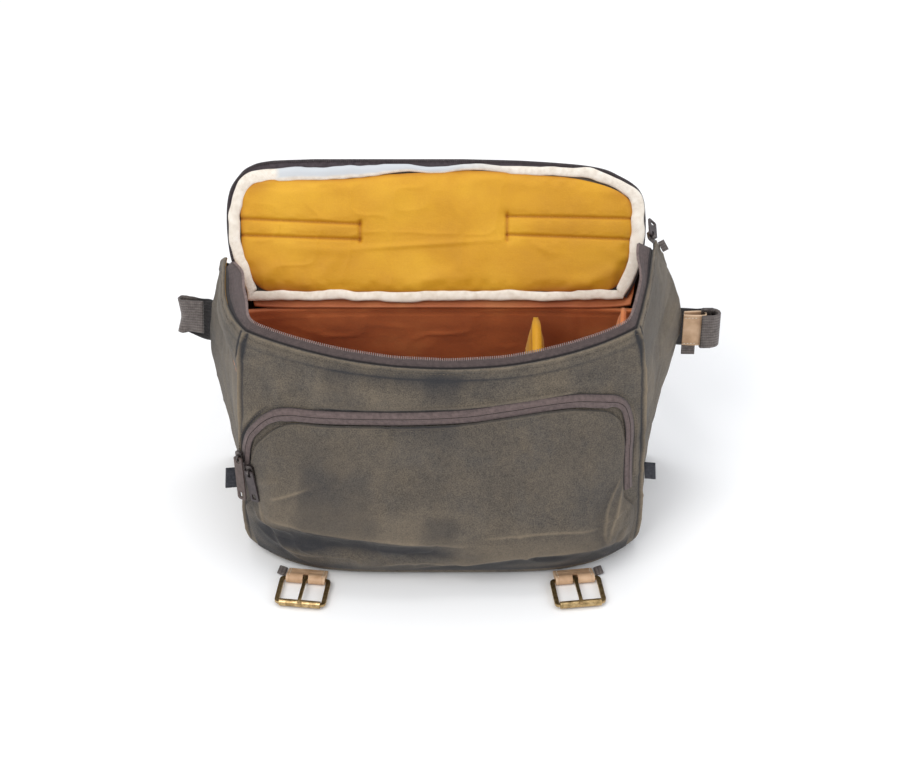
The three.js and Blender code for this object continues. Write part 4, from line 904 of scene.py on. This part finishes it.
def build_lid():
    # padded lining
    rows, cols = 112, 330
    foot_d = 9.3
    u, v = np.meshgrid(np.linspace(0, 1, cols), np.linspace(0, 1, rows))
    w = np.clip(2 * u - 1, -1, 1)
    pad_top = table("x d", (-190, 110), (-172, 113.5), (-160, 115), (-110, 114.2), (-67, 116.4), (-37, 120), (16, 121.5), (50, 123), (95, 120.3), (129, 117.6), (150, 114), (166, 108), (180, 98))
    top_edge = lambda x: at(pad_top, "x", x, "d") + 0.7 * noise(np.stack([x, 0 * x, 0 * x], -1), 30, 3)
    low_edge = lambda x: foot_d + 0.8 * noise(np.stack([x, 0 * x, 9 + 0 * x], -1), 26, 5)
    left0, right0 = lambda d: at(LID, "d", d, "left") + 12.8, lambda d: at(LID, "d", d, "right") - 12.8
    ee = 1.6
    x = mix(-176.0, 172.0, u)
    d = mix(low_edge(x), top_edge(x), v)
    near_top, near_low = top_edge(x) - d, d - low_edge(x)
    cut = lambda e, r: np.where(e < r, r - np.sqrt(np.maximum(0, r * r - (r - np.clip(e, 0, r)) ** 2)), 0)
    turn = cut(near_top, 15) + cut(near_low, 15)
    xl, xr = left0(d) + turn * 0.9 + 0.6 * noise(np.stack([d, 0 * d, 0 * d], -1), 17, 7), right0(d) - turn * 0.9 + 0.6 * noise(np.stack([d, 0 * d, 5 + 0 * d], -1), 17, 7)
    x = mix(xl, xr, u)
    e = np.minimum(np.minimum(near_top, near_low), np.minimum(x - xl, xr - x))

    def height(x, d, e):
        q = np.stack([x, d, 0 * x], -1)
        h = 2.4 + 3.6 * (1 - (1 - np.clip(e / 15, 0, 1)) ** 2.2)
        gather = noise(np.stack([x * 1.0, d * 1.0, 0 * x], -1), 8, 61) * bell(e - 4, 6) * 0.8
        h = h + gather + 0.9 * layered(q, 52, 62) * smooth(e, 4, 20) + 0.55 * creases(q * [1, 1.4, 1], 34, 64) * smooth(e, 3, 14)
        for a, b, width, rise in LID_FOLDS:
            r, s = line_distance(x, d, a, b)
            h = h + rise * bell(r, width) * np.sin(np.pi * np.clip(s, 0.06, 0.94)) ** 0.5 * 0.8
        for a, b in CHANNELS:
            r, s = line_distance(x, d, a, b)
            h = h - 1.9 * bell(r, 1.5) - 0.7 * bell(r, 5) + 0.35 * bell(r - 3.6, 1.8) * noise(q, 7, 66)
        return h

    h = height(x, d, e)
    top = lid_point(x, d, GAP + h)
    bottom = lid_point(x, d, np.full_like(x, GAP + 0.1))
    groove = sum(bell(line_distance(x, d, a, b)[0], 1.3) for a, b in CHANNELS)
    corners = sum(bell(np.hypot((x - cx) / rx, (d - cd) / rd), 1) for cx, cd, rx, rd in ((-178, 112, 15, 9), (-181, 18, 13, 20), (172, 104, 12, 9), (166, 20, 15, 13), (-150, 12, 30, 6), (120, 11, 40, 5)))
    # painted shade in the stitched channels, along the pad's edges and in its corners
    dark = np.clip(0.6 * groove + 0.55 * bell(e, 2.6) + 0.6 * corners, 0, 1)
    pad = slab("lid_pad", top, bottom, np.stack([x, d], -1) * 0.001, {"dark": dark})
    dress(pad, "yellow", stands_for=["lid_lining"])
    n_at = lambda a, b: GAP + height(a, b, np.full_like(a, 20.0))
    made = [thread_line("", a, b, n_at) for a, b in CHANNELS]
    made = [tuple(part[(pts[:, 0] > -180) & (pts[:, 0] < 172)] for part in (pts, al, nr)) for pts, al, nr in made]
    dress(stitched("lid_stitching", *(np.vstack([m[i] for m in made]) for i in range(3)), 2.3, 0.36), "gold_thread")

    # cream binding, wavy, folded over the edge
    outer, inward, k_out = lid_inset(np.where(OUTLINE[:, 0] > 0, 0.9, 3.0), mix(6.5, 2.4, smooth(OUTLINE[:, 0], -40, 140)), 0.8)
    gap_top = LID_TOP - at(pad_top, "x", OUTLINE[:, 0], "d")
    top_in = np.where(OUTLINE[:, 0] < 60, gap_top, 12.0)
    inner, _, k_in = lid_inset(13.2, top_in, 10.0)
    n = len(OUTLINE)
    s = np.append(0, np.cumsum(np.linalg.norm(np.diff(outer, axis=0), axis=1)))
    loop = lambda size, seed: noise(np.stack([np.cos(2 * np.pi * s / s[-1]), np.sin(2 * np.pi * s / s[-1]), 0 * s], -1) * s[-1] / (2 * np.pi), size, seed)
    shift = 1.5 * loop(30, 101) + 0.8 * loop(11, 102)
    lift = 0.9 * loop(24, 103) + 0.6 * loop(9, 104)
    width = (1 + 0.12 * loop(20, 105))
    profile = [(0.0, 0.0), (0.02, 1.2), (0.07, 2.2), (0.18, 2.8), (0.4, 3.0), (0.62, 2.9), (0.82, 2.6), (0.94, 2.0), (1.0, 1.0), (0.98, 0.0), (0.5, -0.1)]
    rings, shares = [], []
    for f, rise in profile:
        g = (f - 0.5) * width + 0.5
        q = outer + (inner - outer) * g[:, None] + inward * np.maximum(shift, -1.5)[:, None]
        tilt = 0.5 * loop(15, 106) * (f - 0.5) * 2
        rings.append(lid_point(q[:, 0], q[:, 1], 2 * GAP + TAPE + np.maximum(0, rise + (lift + tilt) * (1 if rise > 0.5 else 0))))
        shares.append(f)
    rings = np.array(rings).transpose(1, 0, 2)
    across = np.array([f for f, _ in profile])[None] * (k_in - k_out)[:, None]
    uv = np.stack([np.broadcast_to(s[:, None], across.shape), across], -1) * 0.001
    on_top = bell(OUTLINE[:, 1] - LID_TOP, 5) * smooth(-OUTLINE[:, 0], -80, 10) * smooth(OUTLINE[:, 0] + 158, 0, 6)
    grey = on_top[:, None] * smooth(0.74 - np.array(shares), 0, 0.06)[None]
    dress(hoop("lid_binding_tape", rings, uv, {"grey": grey}), "binding", stands_for=["lid_binding"])

    # dark zip tape with its coil along the free edges
    free = slice(2, FREE - 2)
    edge0, inward0, _ = lid_inset(0, 0, 0)
    edge1, _, _ = lid_inset(11, 11, 11)
    rings = []
    for f, rise in [(0.0, 0.4), (0.01, 1.2), (0.1, 1.7), (0.3, 1.55), (0.6, 1.5), (1, 1.5), (1, 0.35), (0.5, 0.3), (0.1, 0.3)]:
        q = (edge0 + (edge1 - edge0) * f)[free]
        rings.append(lid_point(q[:, 0], q[:, 1], np.full(len(q), GAP + rise - 0.3 if rise > 0.4 else GAP)))
    rings = np.array(rings).transpose(1, 0, 2)
    s = np.append(0, np.cumsum(np.linalg.norm(np.diff(rings[:, 0], axis=0), axis=1)))
    across = np.array([0, 0.1, 1.1, 3.3, 6.6, 11, 11, 5.5, 1.1])
    uv = np.stack([np.broadcast_to(s[:, None], rings.shape[:2]), np.broadcast_to(across[None], rings.shape[:2])], -1) * 0.001
    dress(loft("lid_tape", rings, uv, {"worn": np.zeros(rings.shape[:2])}), "dark_tape", stands_for=["lid_zip_tape"])
    q = (edge0 + inward0 * 1.7)[free]
    path = lid_point(q[:, 0], q[:, 1], np.full(len(q), GAP + 1.9))
    pts, ahead_dir, _ = every(path, 1.9, 2, 2)
    side = unit(np.cross(ahead_dir, LID_NORMAL))
    dress(stitched("lid_coil", pts, side, np.broadcast_to(LID_NORMAL, pts.shape), 3.0, 0.6, 0), "dark_pull")

    # canvas outside of the lid
    u, v = np.meshgrid(np.linspace(0, 1, 230), np.linspace(0, 1, 84))
    d = mix(5, 129.5, v)
    x = mix(at(LID, "d", d, "left") + 7, at(LID, "d", d, "right") - 7, u)
    q = np.stack([x, d, 0 * x], -1)
    edge = np.minimum(np.minimum(u, 1 - u) * 370, np.minimum(v, 1 - v) * 124)
    dent = 1.5 * layered(q, 60, 121) + 0.9 * creases(q * [1, 1.5, 1], 50, 125)
    dent = (np.clip(dent, -1.2, 3)) * smooth(edge, 0, 14) + 0.8 * bell(edge - 3, 1.6) - 0.6 * bell(edge - 7, 1.2)
    # painted shade in the sunken groove 7 mm inside the edge
    outside = slab("lid_canvas_outer", lid_point(x, d, -CANVAS + 0.2 - np.maximum(dent, -0.9)), lid_point(x, d, np.full_like(x, -0.02)), q[..., :2] * 0.001,
                   {"worn": np.clip(0.8 * bell(edge, 2.4) + 0.3 * dent, 0, 1), "dark": np.clip(0.6 * bell(edge - 7, 1.4), 0, 1)})
    dress(outside, "canvas", stands_for=["lid_canvas"])

    # canvas folded down to the hinge seam
    fold = table("t y drop", (0, 90, 0), (0.3, 81, 1.5), (0.65, 67, 14.4), (1, 54.5, 19.4))
    u, v = np.meshgrid(np.linspace(0, 1, 150), np.linspace(0, 1, 40))
    s = 1 - 2 * u
    y = at(fold, "t", v, "y")
    x = s * 184 * mix(1, 0.955, v)
    z = at(RIM_BACK, "s", s * 0.86, "z") + 2.6 - at(fold, "t", v, "drop")
    y = y - 6 * s**4 * (1 - (90 - y) / 35.5)
    p = np.stack([x, y, z], -1)
    lift = 0.5 * layered(p, 30, 131) * smooth(np.minimum(v, 1 - v), 0, 0.2)
    top = p + np.stack([0 * x, lift * 0, np.minimum(lift, 0.4)], -1)
    bottom = p - np.array([0, 1.0, 1.74])
    # painted shade: the shaded copy of the yellow lining, darkened further towards the hinge seam
    dress(slab("hinge_canvas", top, bottom, np.stack([x, v * 45], -1) * 0.001, {"worn": 0.4 * bell(v, 0.05), "dark": 0.3 * smooth(v, 0.5, 1)}), "inner", stands_for=["hinge_fold"])


build_lid()

# ---------------------------------------------------------------- dividers
LIN_FLOOR = CANVAS + GAP


def build_divider(name, node, rows, thick, bow, material, seed):
    u, v = np.meshgrid(np.linspace(0, 1, 84), np.linspace(0, 1, 100))
    v = np.clip(v, 0, 1)
    y, top, x = (at(rows, "u", u, c) for c in ("y", "top", "x"))
    soft = np.sqrt(np.maximum(0.2, 1 - np.maximum(0, (v - 0.8) / 0.2) ** 2)) * np.sqrt(np.maximum(0.3, 1 - np.abs(2 * u - 1) ** 6))
    z = mix(LIN_FLOOR + PAD + GAP, top, v)
    q = np.stack([x, y, z], -1)
    edge = np.minimum(np.minimum(u, 1 - u) * 125, (1 - v) * (top - 8))
    sides = []
    for k in (1, -1):
        w = 0.7 * layered(q + k * 50, 34, seed) + 0.8 * creases(q * [1, 1, 1.3] + k * 31, 30, seed + 3)
        w = (w - 0.5) * smooth(edge, 2, 14) * smooth(v, 0.02, 0.1) - 0.9 * bell(edge - 6, 1.3) * smooth(v, 0.05, 0.1)
        sides.append(np.stack([x + bow * v * v + k * (thick * soft / 2 + w * 0.8), y, z], -1))
    # painted shade along the pad's edges and low down between the walls
    dark = np.clip(0.5 * bell(edge - 6, 1.6) + 0.6 * (1 - smooth(v, 0.2, 0.9)), 0, 1)
    o = slab(name, sides[0], sides[1], np.stack([y, z], -1) * 0.001, {"dark": dark})
    dress(o, material, stands_for=[node])


build_divider("divider_pad_middle", "divider_middle", table("u x y top", (0, 84, -82, 168), (0.35, 84, -40, 178), (0.75, 84, 14, 202), (1, 84, 44, 198)), 19, 3, "yellow", 140)
# painted shade: the side pad takes the shaded copy of the yellow lining
build_divider("divider_pad_side", "divider_side", table("u x y top", (0, 146, -54, 204), (0.4, 149, -20, 224), (0.75, 152, 12, 228), (1, 154, 40, 212)), 11, 14, "inner", 150)


# ---------------------------------------------------------------- front pocket
def bulge(s, v):
    return at(POCKET_BULGE, "v", v, "out") * (1 - np.abs(s) ** 5)


RIDGE_LEFT = table("x z", (-185, 64), (-143, 70), (-103, 71), (-57, 67), (-11, 62), (20, 57), (60, 54), (110, 50), (185, 44))
RIDGE_RIGHT = table("x z", (-60, 20), (-11, 26), (20, 31), (81, 45), (146, 40), (176, 31), (190, 30))


SIDE_TAPE = 0.58  # share of the zip's width that shows where it runs down the pocket's sides
# sharp creases on the pocket: places (x, z), height, and how much painted shade lies below them
CREASES = [
    ([(-150, 71), (-128, 73), (-103, 71), (-57, 67), (-11, 62), (22, 58)], 1.5, 0.75),
    ([(-30, 17), (-5, 25), (20, 31), (50, 40), (81, 45), (115, 44), (146, 41), (172, 33)], 1.5, 0.8),
    ([(-170, 90), (-160, 68), (-152, 52), (-141, 38), (-128, 33), (-112, 35)], 1.9, 0.55),
    ([(161, 108), (152, 92), (146, 74), (144, 54), (147, 42)], 1.7, 0.3),
    ([(168, 104), (161, 84), (153, 64), (148, 46)], 1.3, 0.4),
    ([(138, 36), (145, 25), (153, 17)], 1.2, 0.8), ([(-168, 46), (-150, 40), (-134, 26), (-118, 20)], 1.3, 0.6),
    ([(-152, 92), (-136, 104), (-118, 116)], 0.7, 0.25), ([(-60, 22), (-30, 30), (10, 27)], 0.8, 0.3), ([(40, 66), (90, 72), (140, 64)], 0.6, 0.2),
]


def crease_lines(x, z):
    rise, worn, dark = np.zeros_like(x), np.zeros_like(x), np.zeros_like(x)
    for points, height, below in CREASES:
        fine = np.array(points, float)
        for _ in range(2):
            cut = np.empty((2 * len(fine) - 2, 2))
            cut[0::2], cut[1::2] = 0.75 * fine[:-1] + 0.25 * fine[1:], 0.25 * fine[:-1] + 0.75 * fine[1:]
            fine = np.vstack([fine[:1], cut, fine[-1:]])
        near, side, share = np.full_like(x, 1e9), np.zeros_like(x), np.zeros_like(x)
        for i in range(len(fine) - 1):
            r, k = line_distance(x, z, fine[i], fine[i + 1])
            turn = (fine[i + 1][0] - fine[i][0]) * (z - fine[i][1]) - (fine[i + 1][1] - fine[i][1]) * (x - fine[i][0])
            hit = r < near
            near, side, share = np.where(hit, r, near), np.where(hit, np.sign(turn), side), np.where(hit, (i + k) / (len(fine) - 1), share)
        ends = np.sin(np.pi * np.clip(share, 0.03, 0.97)) ** 0.6
        rise += ends * height * (np.exp(-near / np.where(side > 0, 9.0, 2.2)) - 0.35 * bell(near - 6, 4) * (side < 0))
        worn += ends * 0.75 * bell(near, 1.2)
        # painted shade on the low side of each crease
        dark += ends * below * (side < 0) * smooth(near, 0.8, 3) * np.exp(-near / 13)
    return rise, worn, dark


def panel_xz(s, v):
    k = (POCKET_TAPE_W * SIDE_TAPE + 0.9) * smooth(v, POCKET_TAPE_V - 0.2, POCKET_TAPE_V - 0.06)
    x = mix(at(POCKET_SIDES, "v", v, "left") + k, at(POCKET_SIDES, "v", v, "right") - k, (s + 1) / 2)
    return x, mix(POCKET_FOOT, at(POCKET_TOP, "s", s, "z") - POCKET_TAPE_W - 0.8, v)


def panel_extra(x, z, s, v):
    """Folds of the panel, over its bulge."""
    q = np.stack([x, z, 0 * x], -1)
    inner = smooth(np.minimum((1 - np.abs(s)) * 178, (1 - v) * 180), 1, 18) * smooth(v, 0.02, 0.12)
    low = smooth(0.62 - v, 0, 0.4)
    d = 1.0 * layered(q, 62, 161) + (0.4 + 1.0 * low) * layered(q, 25, 165) + (0.3 + 1.5 * low) * creases(q * [0.8, 1.5, 1], 40, 169) - 0.8 * low * creases(q * [1.3, 1, 1], 31, 171)
    a, b = z - at(RIDGE_LEFT, "x", x, "z"), z - at(RIDGE_RIGHT, "x", x, "z")
    left, right = smooth(40 - x, 0, 70) * smooth(x + 176, 0, 24), smooth(x + 6, 0, 30) * smooth(178 - x, 0, 18)
    d = d + 4.6 * left * np.where(a > 0, bell(a, 26), bell(a, 8)) + 3.8 * right * np.where(b > 0, bell(b, 22), bell(b, 7))
    d = d - 3.2 * left * bell(a + 17, 9)
    for (p0, p1, width, rise) in [((-176, 96), (-140, 118), 4, 1.6), ((-172, 80), (-150, 40), 5, 2.4), ((-160, 66), (-146, 30), 5, -2.2), ((166, 92), (150, 66), 5, 2.0),
                                  ((172, 74), (158, 40), 5, -2.0), ((-120, 60), (-60, 34), 7, -1.6), ((110, 30), (160, 52), 6, 1.4), ((-40, 50), (30, 30), 8, 1.6)]:
        r, sh = line_distance(x, z, p0, p1)
        d = d + rise * bell(r, width) * np.sin(np.pi * np.clip(sh, 0.08, 0.92)) ** 0.5
    pucker = noise(np.stack([x, 0 * x, 0 * x], -1), 5.5, 175) * bell((1 - v) * 180 - 4, 6) * (0.4 + 0.8 * bell(x + 55, 60))
    return d * inner * 1.0 + pucker * 0.8, a, b, left, right


def build_pocket():
    cols, rows = 290, 150
    u, v = np.meshgrid(np.linspace(0, 1, cols), np.linspace(0, 1, rows))
    s = 2 * u - 1
    x, z = panel_xz(s, v)
    extra, a, b, left, right = panel_extra(x, z, s, v)
    rise, line, shade = crease_lines(x, z)
    extra = extra + rise * smooth((1 - np.abs(s)) * 178, 0, 5)
    extra = np.maximum(extra, -0.7 * bulge(s, v))
    base = GAP + 0.6 + bulge(s, v)
    top = front_point(x, z, base + CANVAS + extra)
    bottom = front_point(x, z, base + extra * 0.9)
    edge = np.minimum((1 - np.abs(s)) * 178, (1 - v) * 180)
    # painted shade under the ridges, along the edges, in the lower-left hollow, at the underside and a little over the
    # whole panel, with some random stains
    dark = (0.75 * left * bell(a + 15, 9) + 0.6 * right * bell(b + 12, 8) + 0.5 * bell(edge, 1.6) + 0.5 * (1 - smooth(v, 0, 0.09))
            + 0.4 * smooth(noise(np.stack([x, z, 0 * x], -1), 38, 177), 0.3, 0.9) + 0.95 * bell(x + 128, 19) * bell(z - 49, 11) + shade
            + 0.14 + 0.7 * smooth(30 - z, 0, 16) * smooth(-x, 70, 100) + 0.45 * smooth(26 - z, 0, 14) * smooth(x, 20, 60))
    worn = line + 0.25 * left * bell(a - 1, 4) + 0.2 * right * bell(b - 1, 4) + 0.55 * bell(edge - 1.0, 0.9) + 0.14 * np.clip(extra, 0, 3)
    panel = slab("pocket_front", top, bottom, np.stack([x, z], -1) * 0.001, {"dark": np.clip(dark, 0, 1), "worn": np.clip(worn, 0, 1)})
    dress(panel, "canvas", stands_for=["pocket_panel"])

    # arch of the zip
    sv = [(-1, v) for v in np.linspace(POCKET_TAPE_V, 1, 260)] + [(s, 1) for s in np.linspace(-1, 1, 500)[1:-1]] + [(1, v) for v in np.linspace(1, POCKET_TAPE_V - 0.07, 290)]
    s, v = np.array(sv).T
    ex, ez = pocket_xz(s, v)
    along = np.append(0, np.cumsum(np.hypot(np.diff(ex), np.diff(ez))))
    n = int(along[-1] / 0.62)
    k = np.linspace(0, along[-1], n)
    ex, ez, s, v = (np.interp(k, along, q) for q in (ex, ez, s, v))
    tx, tz = np.gradient(ex), np.gradient(ez)
    for _ in range(40):
        tx = np.convolve(np.pad(tx, 1, mode="edge"), [0.25, 0.5, 0.25], "valid")
        tz = np.convolve(np.pad(tz, 1, mode="edge"), [0.25, 0.5, 0.25], "valid")
    l = np.hypot(tx, tz)
    nx, nz = tz / l, -tx / l
    narrow = mix(1, SIDE_TAPE, smooth(np.abs(nx), 0.35, 1))
    where = lambda inset, out: front_point(ex + nx * inset * narrow, ez + nz * inset * narrow, np.broadcast_to(out, len(ex)))
    tooth = 0.22 * np.cos(2 * np.pi * k / 1.9)
    profile = [(0, 0.9), (0.1, 1.3), (0.7, 1.7), (3.2, 2.1), (5.4, 2.5), (6.1, 3.1), (6.7, 2.8), (7.0, 1.3), (7.3, 2.8), (7.9, 3.1), (8.6, 2.6),
               (11.0, 2.5), (13.4, 2.4), (14, 1.9), (14, 0.9), (7, 0.9)]
    rings = np.array([where(i, o + (tooth if o > 3.0 else 0)) for i, o in profile]).transpose(1, 0, 2)
    across = np.array([i for i, _ in profile])
    uv = np.stack([np.broadcast_to(k[:, None], rings.shape[:2]), np.broadcast_to(across[None], rings.shape[:2])], -1) * 0.001
    worn = np.broadcast_to(np.array([0, 0, 0.1, 0.3, 0.3, 0.8, 0.2, 0, 0.2, 0.8, 0.2, 0.2, 0.2, 0, 0, 0])[None], rings.shape[:2])
    # painted shade in the groove between the tapes and at the edges under the canvas
    shade = np.broadcast_to(np.array([1, 0.9, 0.25, 0, 0, 0, 0.5, 1, 0.5, 0, 0, 0, 0.1, 0.7, 1, 0])[None], rings.shape[:2])
    dress(loft("pocket_zip", rings, uv, {"worn": worn, "dark": shade}), "zip", stands_for=["pocket_zip_tape"])
    lift = 1.5 * (1 - np.abs(s) ** 5) * (v > 0.99)
    for name, inset, out in [("pocket_stitching_outer", -4.2, 1.85), ("pocket_stitching_inner", 18.2, 3.35)]:
        path = where(inset, out + (lift if inset > 0 else 0))
        outward = unit(where(inset, 5.0) - where(inset, 0.0))
        pts, ahead_dir, share = every(path, 3.5, 2, 2)
        nn = outward[(share * (len(path) - 1)).astype(int)]
        dress(stitched(name, pts, ahead_dir, nn, 2.3, 0.36), "thread")


build_pocket()


# ---------------------------------------------------------------- webbing tabs, strap and leather
def flat_tab(name, node, origin, out, wide, long, thick, axis, material):
    o, d = np.array(origin, float), unit(out)
    path = np.array([o + d * long * k for k in np.linspace(0, 1, 16)])
    taper = np.array([flat_profile(wide, thick, 12)] * 16)
    dress(swept(name, path, axis, taper), material, stands_for=[node])


# the side loops take the painted-shade copy of the webbing
flat_tab("side_loop_left", "side_tab_left", (-187.4, -56.4, 88), (-1, -0.25, 0.1), 22, 14, 3, (0, 0.1, 1), "webbing_in_shade")
flat_tab("side_loop_right", "side_tab_right", (187.4, -56.4, 96), (1, -0.25, 0.1), 18, 10, 3, (0, 0.1, 1), "webbing_in_shade")
flat_tab("rear_loop", "rear_tab", (201.4, 66, 262), (1, 0.2, 0.5), 12, 6, 3, (-0.3, 0, 1), "webbing")


def build_strap():
    path, k = resample(STRAP, 2.0)
    share = k / k[-1]
    lean = np.stack([0 * share, 0.36 * smooth(np.minimum(share, 1 - share), 0.07, 0.3) - 0.1 * smooth(share, 0.94, 0.972) * (1 - smooth(share, 0.978, 1)), 1 + 0 * share], -1)
    profile = flat_profile(WEB_W, WEB_T, 26)
    # painted shade on the strap's inner leg, which faces the bag
    inner_leg = smooth(share, 0.026, 0.034) * (1 - smooth(share, 0.07, 0.13)) + smooth(share, 0.88, 0.93) * (1 - smooth(share, 0.962, 0.97))
    strap = swept("strap", path, lean, profile, {"dark": np.broadcast_to(0.85 * inner_leg[:, None], (len(path), len(profile)))})
    dress(strap, "webbing", stands_for=["shoulder_strap"])
    return strap, path, k[-1]


strap, strap_path, strap_long = build_strap()


def leather_band(name, node, path, width, axis, holes=None, place=None):
    path, k = resample(path, 0.7)
    profile = np.array(flat_profile(width, LEATHER, 34))
    edge = bell(width / 2 - np.abs(profile[:, 0]), 1.1)
    worn = np.broadcast_to(edge[None], (len(path), len(profile)))
    dark = np.broadcast_to((0.5 * bell(width / 2 - np.abs(profile[:, 0]) - 2.6, 0.5))[None], (len(path), len(profile)))
    o = swept(name, path, axis, profile, {"worn": worn, "dark": dark})
    if place is not None:
        co = np.empty(len(o.data.vertices) * 3)
        o.data.vertices.foreach_get("co", co)
        co = place(co.reshape(-1, 3) * 1000) * 0.001
        o.data.vertices.foreach_set("co", co.ravel())
        o.data.update()
    return o


BAR_X, BAR_Y, BAR_Z = 247.5, 82, 157
lug = [(229.4, 79.4, BAR_Z), (238, 78.6, BAR_Z)] + [(BAR_X + 3.3 * math.sin(a * math.pi / 8), BAR_Y - 3.3 * math.cos(a * math.pi / 8), BAR_Z) for a in range(9)] + [(238, 85.2, BAR_Z), (230.2, 84.4, BAR_Z)]
dress(leather_band("strap_leather", "strap_lug_right", lug, 36, (0, 0, 1)), "leather", stands_for=["strap_lug_right"])
points = np.array([(x, 77.6 + 0 * x, z) for z in (BAR_Z + 15, BAR_Z - 15) for x in np.arange(231.5, 244, 3.2)])
dress(stitched("strap_leather_stitching", points, np.tile([1, 0, 0], (len(points), 1)), np.tile([0, -1, 0], (len(points), 1)), 2.2, 0.4), "pale_thread")
path = np.array([[229.6, 82.1, 134], [236, 81.9, 134], [242.4, 81.8, 134]])
path, _ = resample(path, 1.0)
dress(swept("lug_web", path, (0.1, 0, 1), flat_profile(16, 1.8, 12)), "webbing", stands_for=["lug_webbing"])

BUCKLE = {"heelY": -14, "frontY": -47, "height": 4.6, "bore": 2.25}


def build_buckle(side, bx, by, splay):
    a = math.radians(splay)

    def turned(p):
        p = np.asarray(p, float)
        return np.stack([bx + p[..., 0] * math.cos(a) - p[..., 1] * math.sin(a), by + p[..., 0] * math.sin(a) + p[..., 1] * math.cos(a), p[..., 2]], -1)

    r, h, heel = BUCKLE["bore"] + LEATHER / 2, BUCKLE["height"], BUCKLE["heelY"]
    path = [(0, 2.4, LEATHER / 2 + 0.5), (0, -6, LEATHER / 2 + 0.5), (0, heel + 1, h - r)]
    path += [(0, heel - r * math.sin(k * math.pi / 8), h - r * math.cos(k * math.pi / 8)) for k in range(1, 8)]
    path += [(0, heel + 1.5, h + r), (0, -6.5, h + 0.4), (0, -2.5, LEATHER * 1.5 + 1.3)]
    tab = leather_band("leather_tab_" + side, None, path, 37, (1, 0, 0), place=turned)
    # slot for the prong
    cut = bmesh.new()
    ring = [(2.6 * math.cos(q), heel - 3 + (6 if math.sin(q) > 0 else -6) + 2.6 * math.sin(q)) for q in np.linspace(0, 2 * math.pi, 24, endpoint=False)]
    low = [cut.verts.new(Vector(turned((x, y, -4))) * 0.001) for x, y in ring]
    high = [cut.verts.new(Vector(turned((x, y, 14))) * 0.001) for x, y in ring]
    cut.faces.new(low[::-1])
    cut.faces.new(high)
    for i in range(len(ring)):
        j = (i + 1) % len(ring)
        cut.faces.new([low[i], low[j], high[j], high[i]])
    bmesh.ops.recalc_face_normals(cut, faces=cut.faces)
    mesh = bpy.data.meshes.new("slot_cutter")
    cut.to_mesh(mesh)
    cut.free()
    cutter = bpy.data.objects.new("slot_cutter", mesh)
    scene.collection.objects.link(cutter)
    m = tab.modifiers.new("slot", "BOOLEAN")
    m.operation, m.solver, m.object = "DIFFERENCE", "EXACT", cutter
    bpy.context.view_layer.update()
    done = bpy.data.meshes.new_from_object(tab.evaluated_get(bpy.context.evaluated_depsgraph_get()))
    tab.modifiers.clear()
    tab.data = done
    bpy.data.objects.remove(cutter)
    dress(tab, "leather", stands_for=["buckle_tab_" + side])
    rows = [(x, y) for x in (-15.6, 15.6) for y in np.arange(-13, -1, 2.8)]
    level = lambda y: np.interp(y, [-12.5, -6.5, -2.5], [h + r, h + 0.4, LEATHER * 1.5 + 1.3]) + LEATHER / 2 + 0.05
    pts = np.array([turned((x, y, level(y))) for x, y in rows])
    tilt = np.array([turned((0, y + 0.5, level(y + 0.5))) - turned((0, y - 0.5, level(y - 0.5))) for _, y in rows])
    dress(stitched("leather_stitching_" + side, pts, tilt, np.cross(turned((1, 0, 0)) - turned((0, 0, 0)), unit(tilt)), 2.0, 0.36), "pale_thread")
    d = -1 if side == "left" else 1
    stub, _ = resample([(d * 23.5, 1.5, 3.4), (d * 24, -3, 3.2), (d * 24.6, -7.5, 2.6)], 0.8)
    dress(swept("web_end_" + side, turned(stub), turned((1, 0, 0.25 * d)) - turned((0, 0, 0)), flat_profile(8, 2.4, 8)), "webbing", stands_for=["web_stub_" + side])


build_buckle("left", -126, -92, -7)
build_buckle("right", 122, -92, 7)


# ---------------------------------------------------------------- hard parts kept from the CAD
def refine(node, material, width=0.5, segments=3):
    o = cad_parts[node]
    o.data.materials.clear()
    o.data.materials.append(M[material])
    weld = o.modifiers.new("weld", "WELD")
    weld.merge_threshold = 0.00002
    bevel = o.modifiers.new("bevel", "BEVEL")
    bevel.width, bevel.segments, bevel.limit_method, bevel.angle_limit = width * 0.001, segments, "ANGLE", math.radians(35)
    o.data.polygons.foreach_set("use_smooth", [True] * len(o.data.polygons))
    o.modifiers.new("normals", "WEIGHTED_NORMAL").keep_sharp = True


for side in ("left", "right"):
    refine("buckle_frame_" + side, "brass", 0.9)
    refine("buckle_roller_" + side, "brass", 0.35, 2)
    refine("buckle_prong_" + side, "brass", 0.45)
refine("strap_ring", "gun", 0.9)
for name, material in (("pocket_zip_a", "pull"), ("pocket_zip_b", "dark_pull"), ("mouth_zip", "dark_pull")):
    refine(name + "_slider", "gun", 0.35, 2)
    refine(name + "_pull", material, 0.35, 2)

# ---------------------------------------------------------------- floor
bpy.ops.mesh.primitive_plane_add(size=30, location=(0, 0, -0.0003))
floor = bpy.context.object
floor.name = "floor"
floor_mat = bpy.data.materials.new("pale_floor")
floor_mat.use_nodes = True
floor_mat.node_tree.nodes["Principled BSDF"].inputs["Base Color"].default_value = (0.94, 0.94, 0.94, 1)
floor_mat.node_tree.nodes["Principled BSDF"].inputs["Roughness"].default_value = 0.9
floor.data.materials.append(floor_mat)
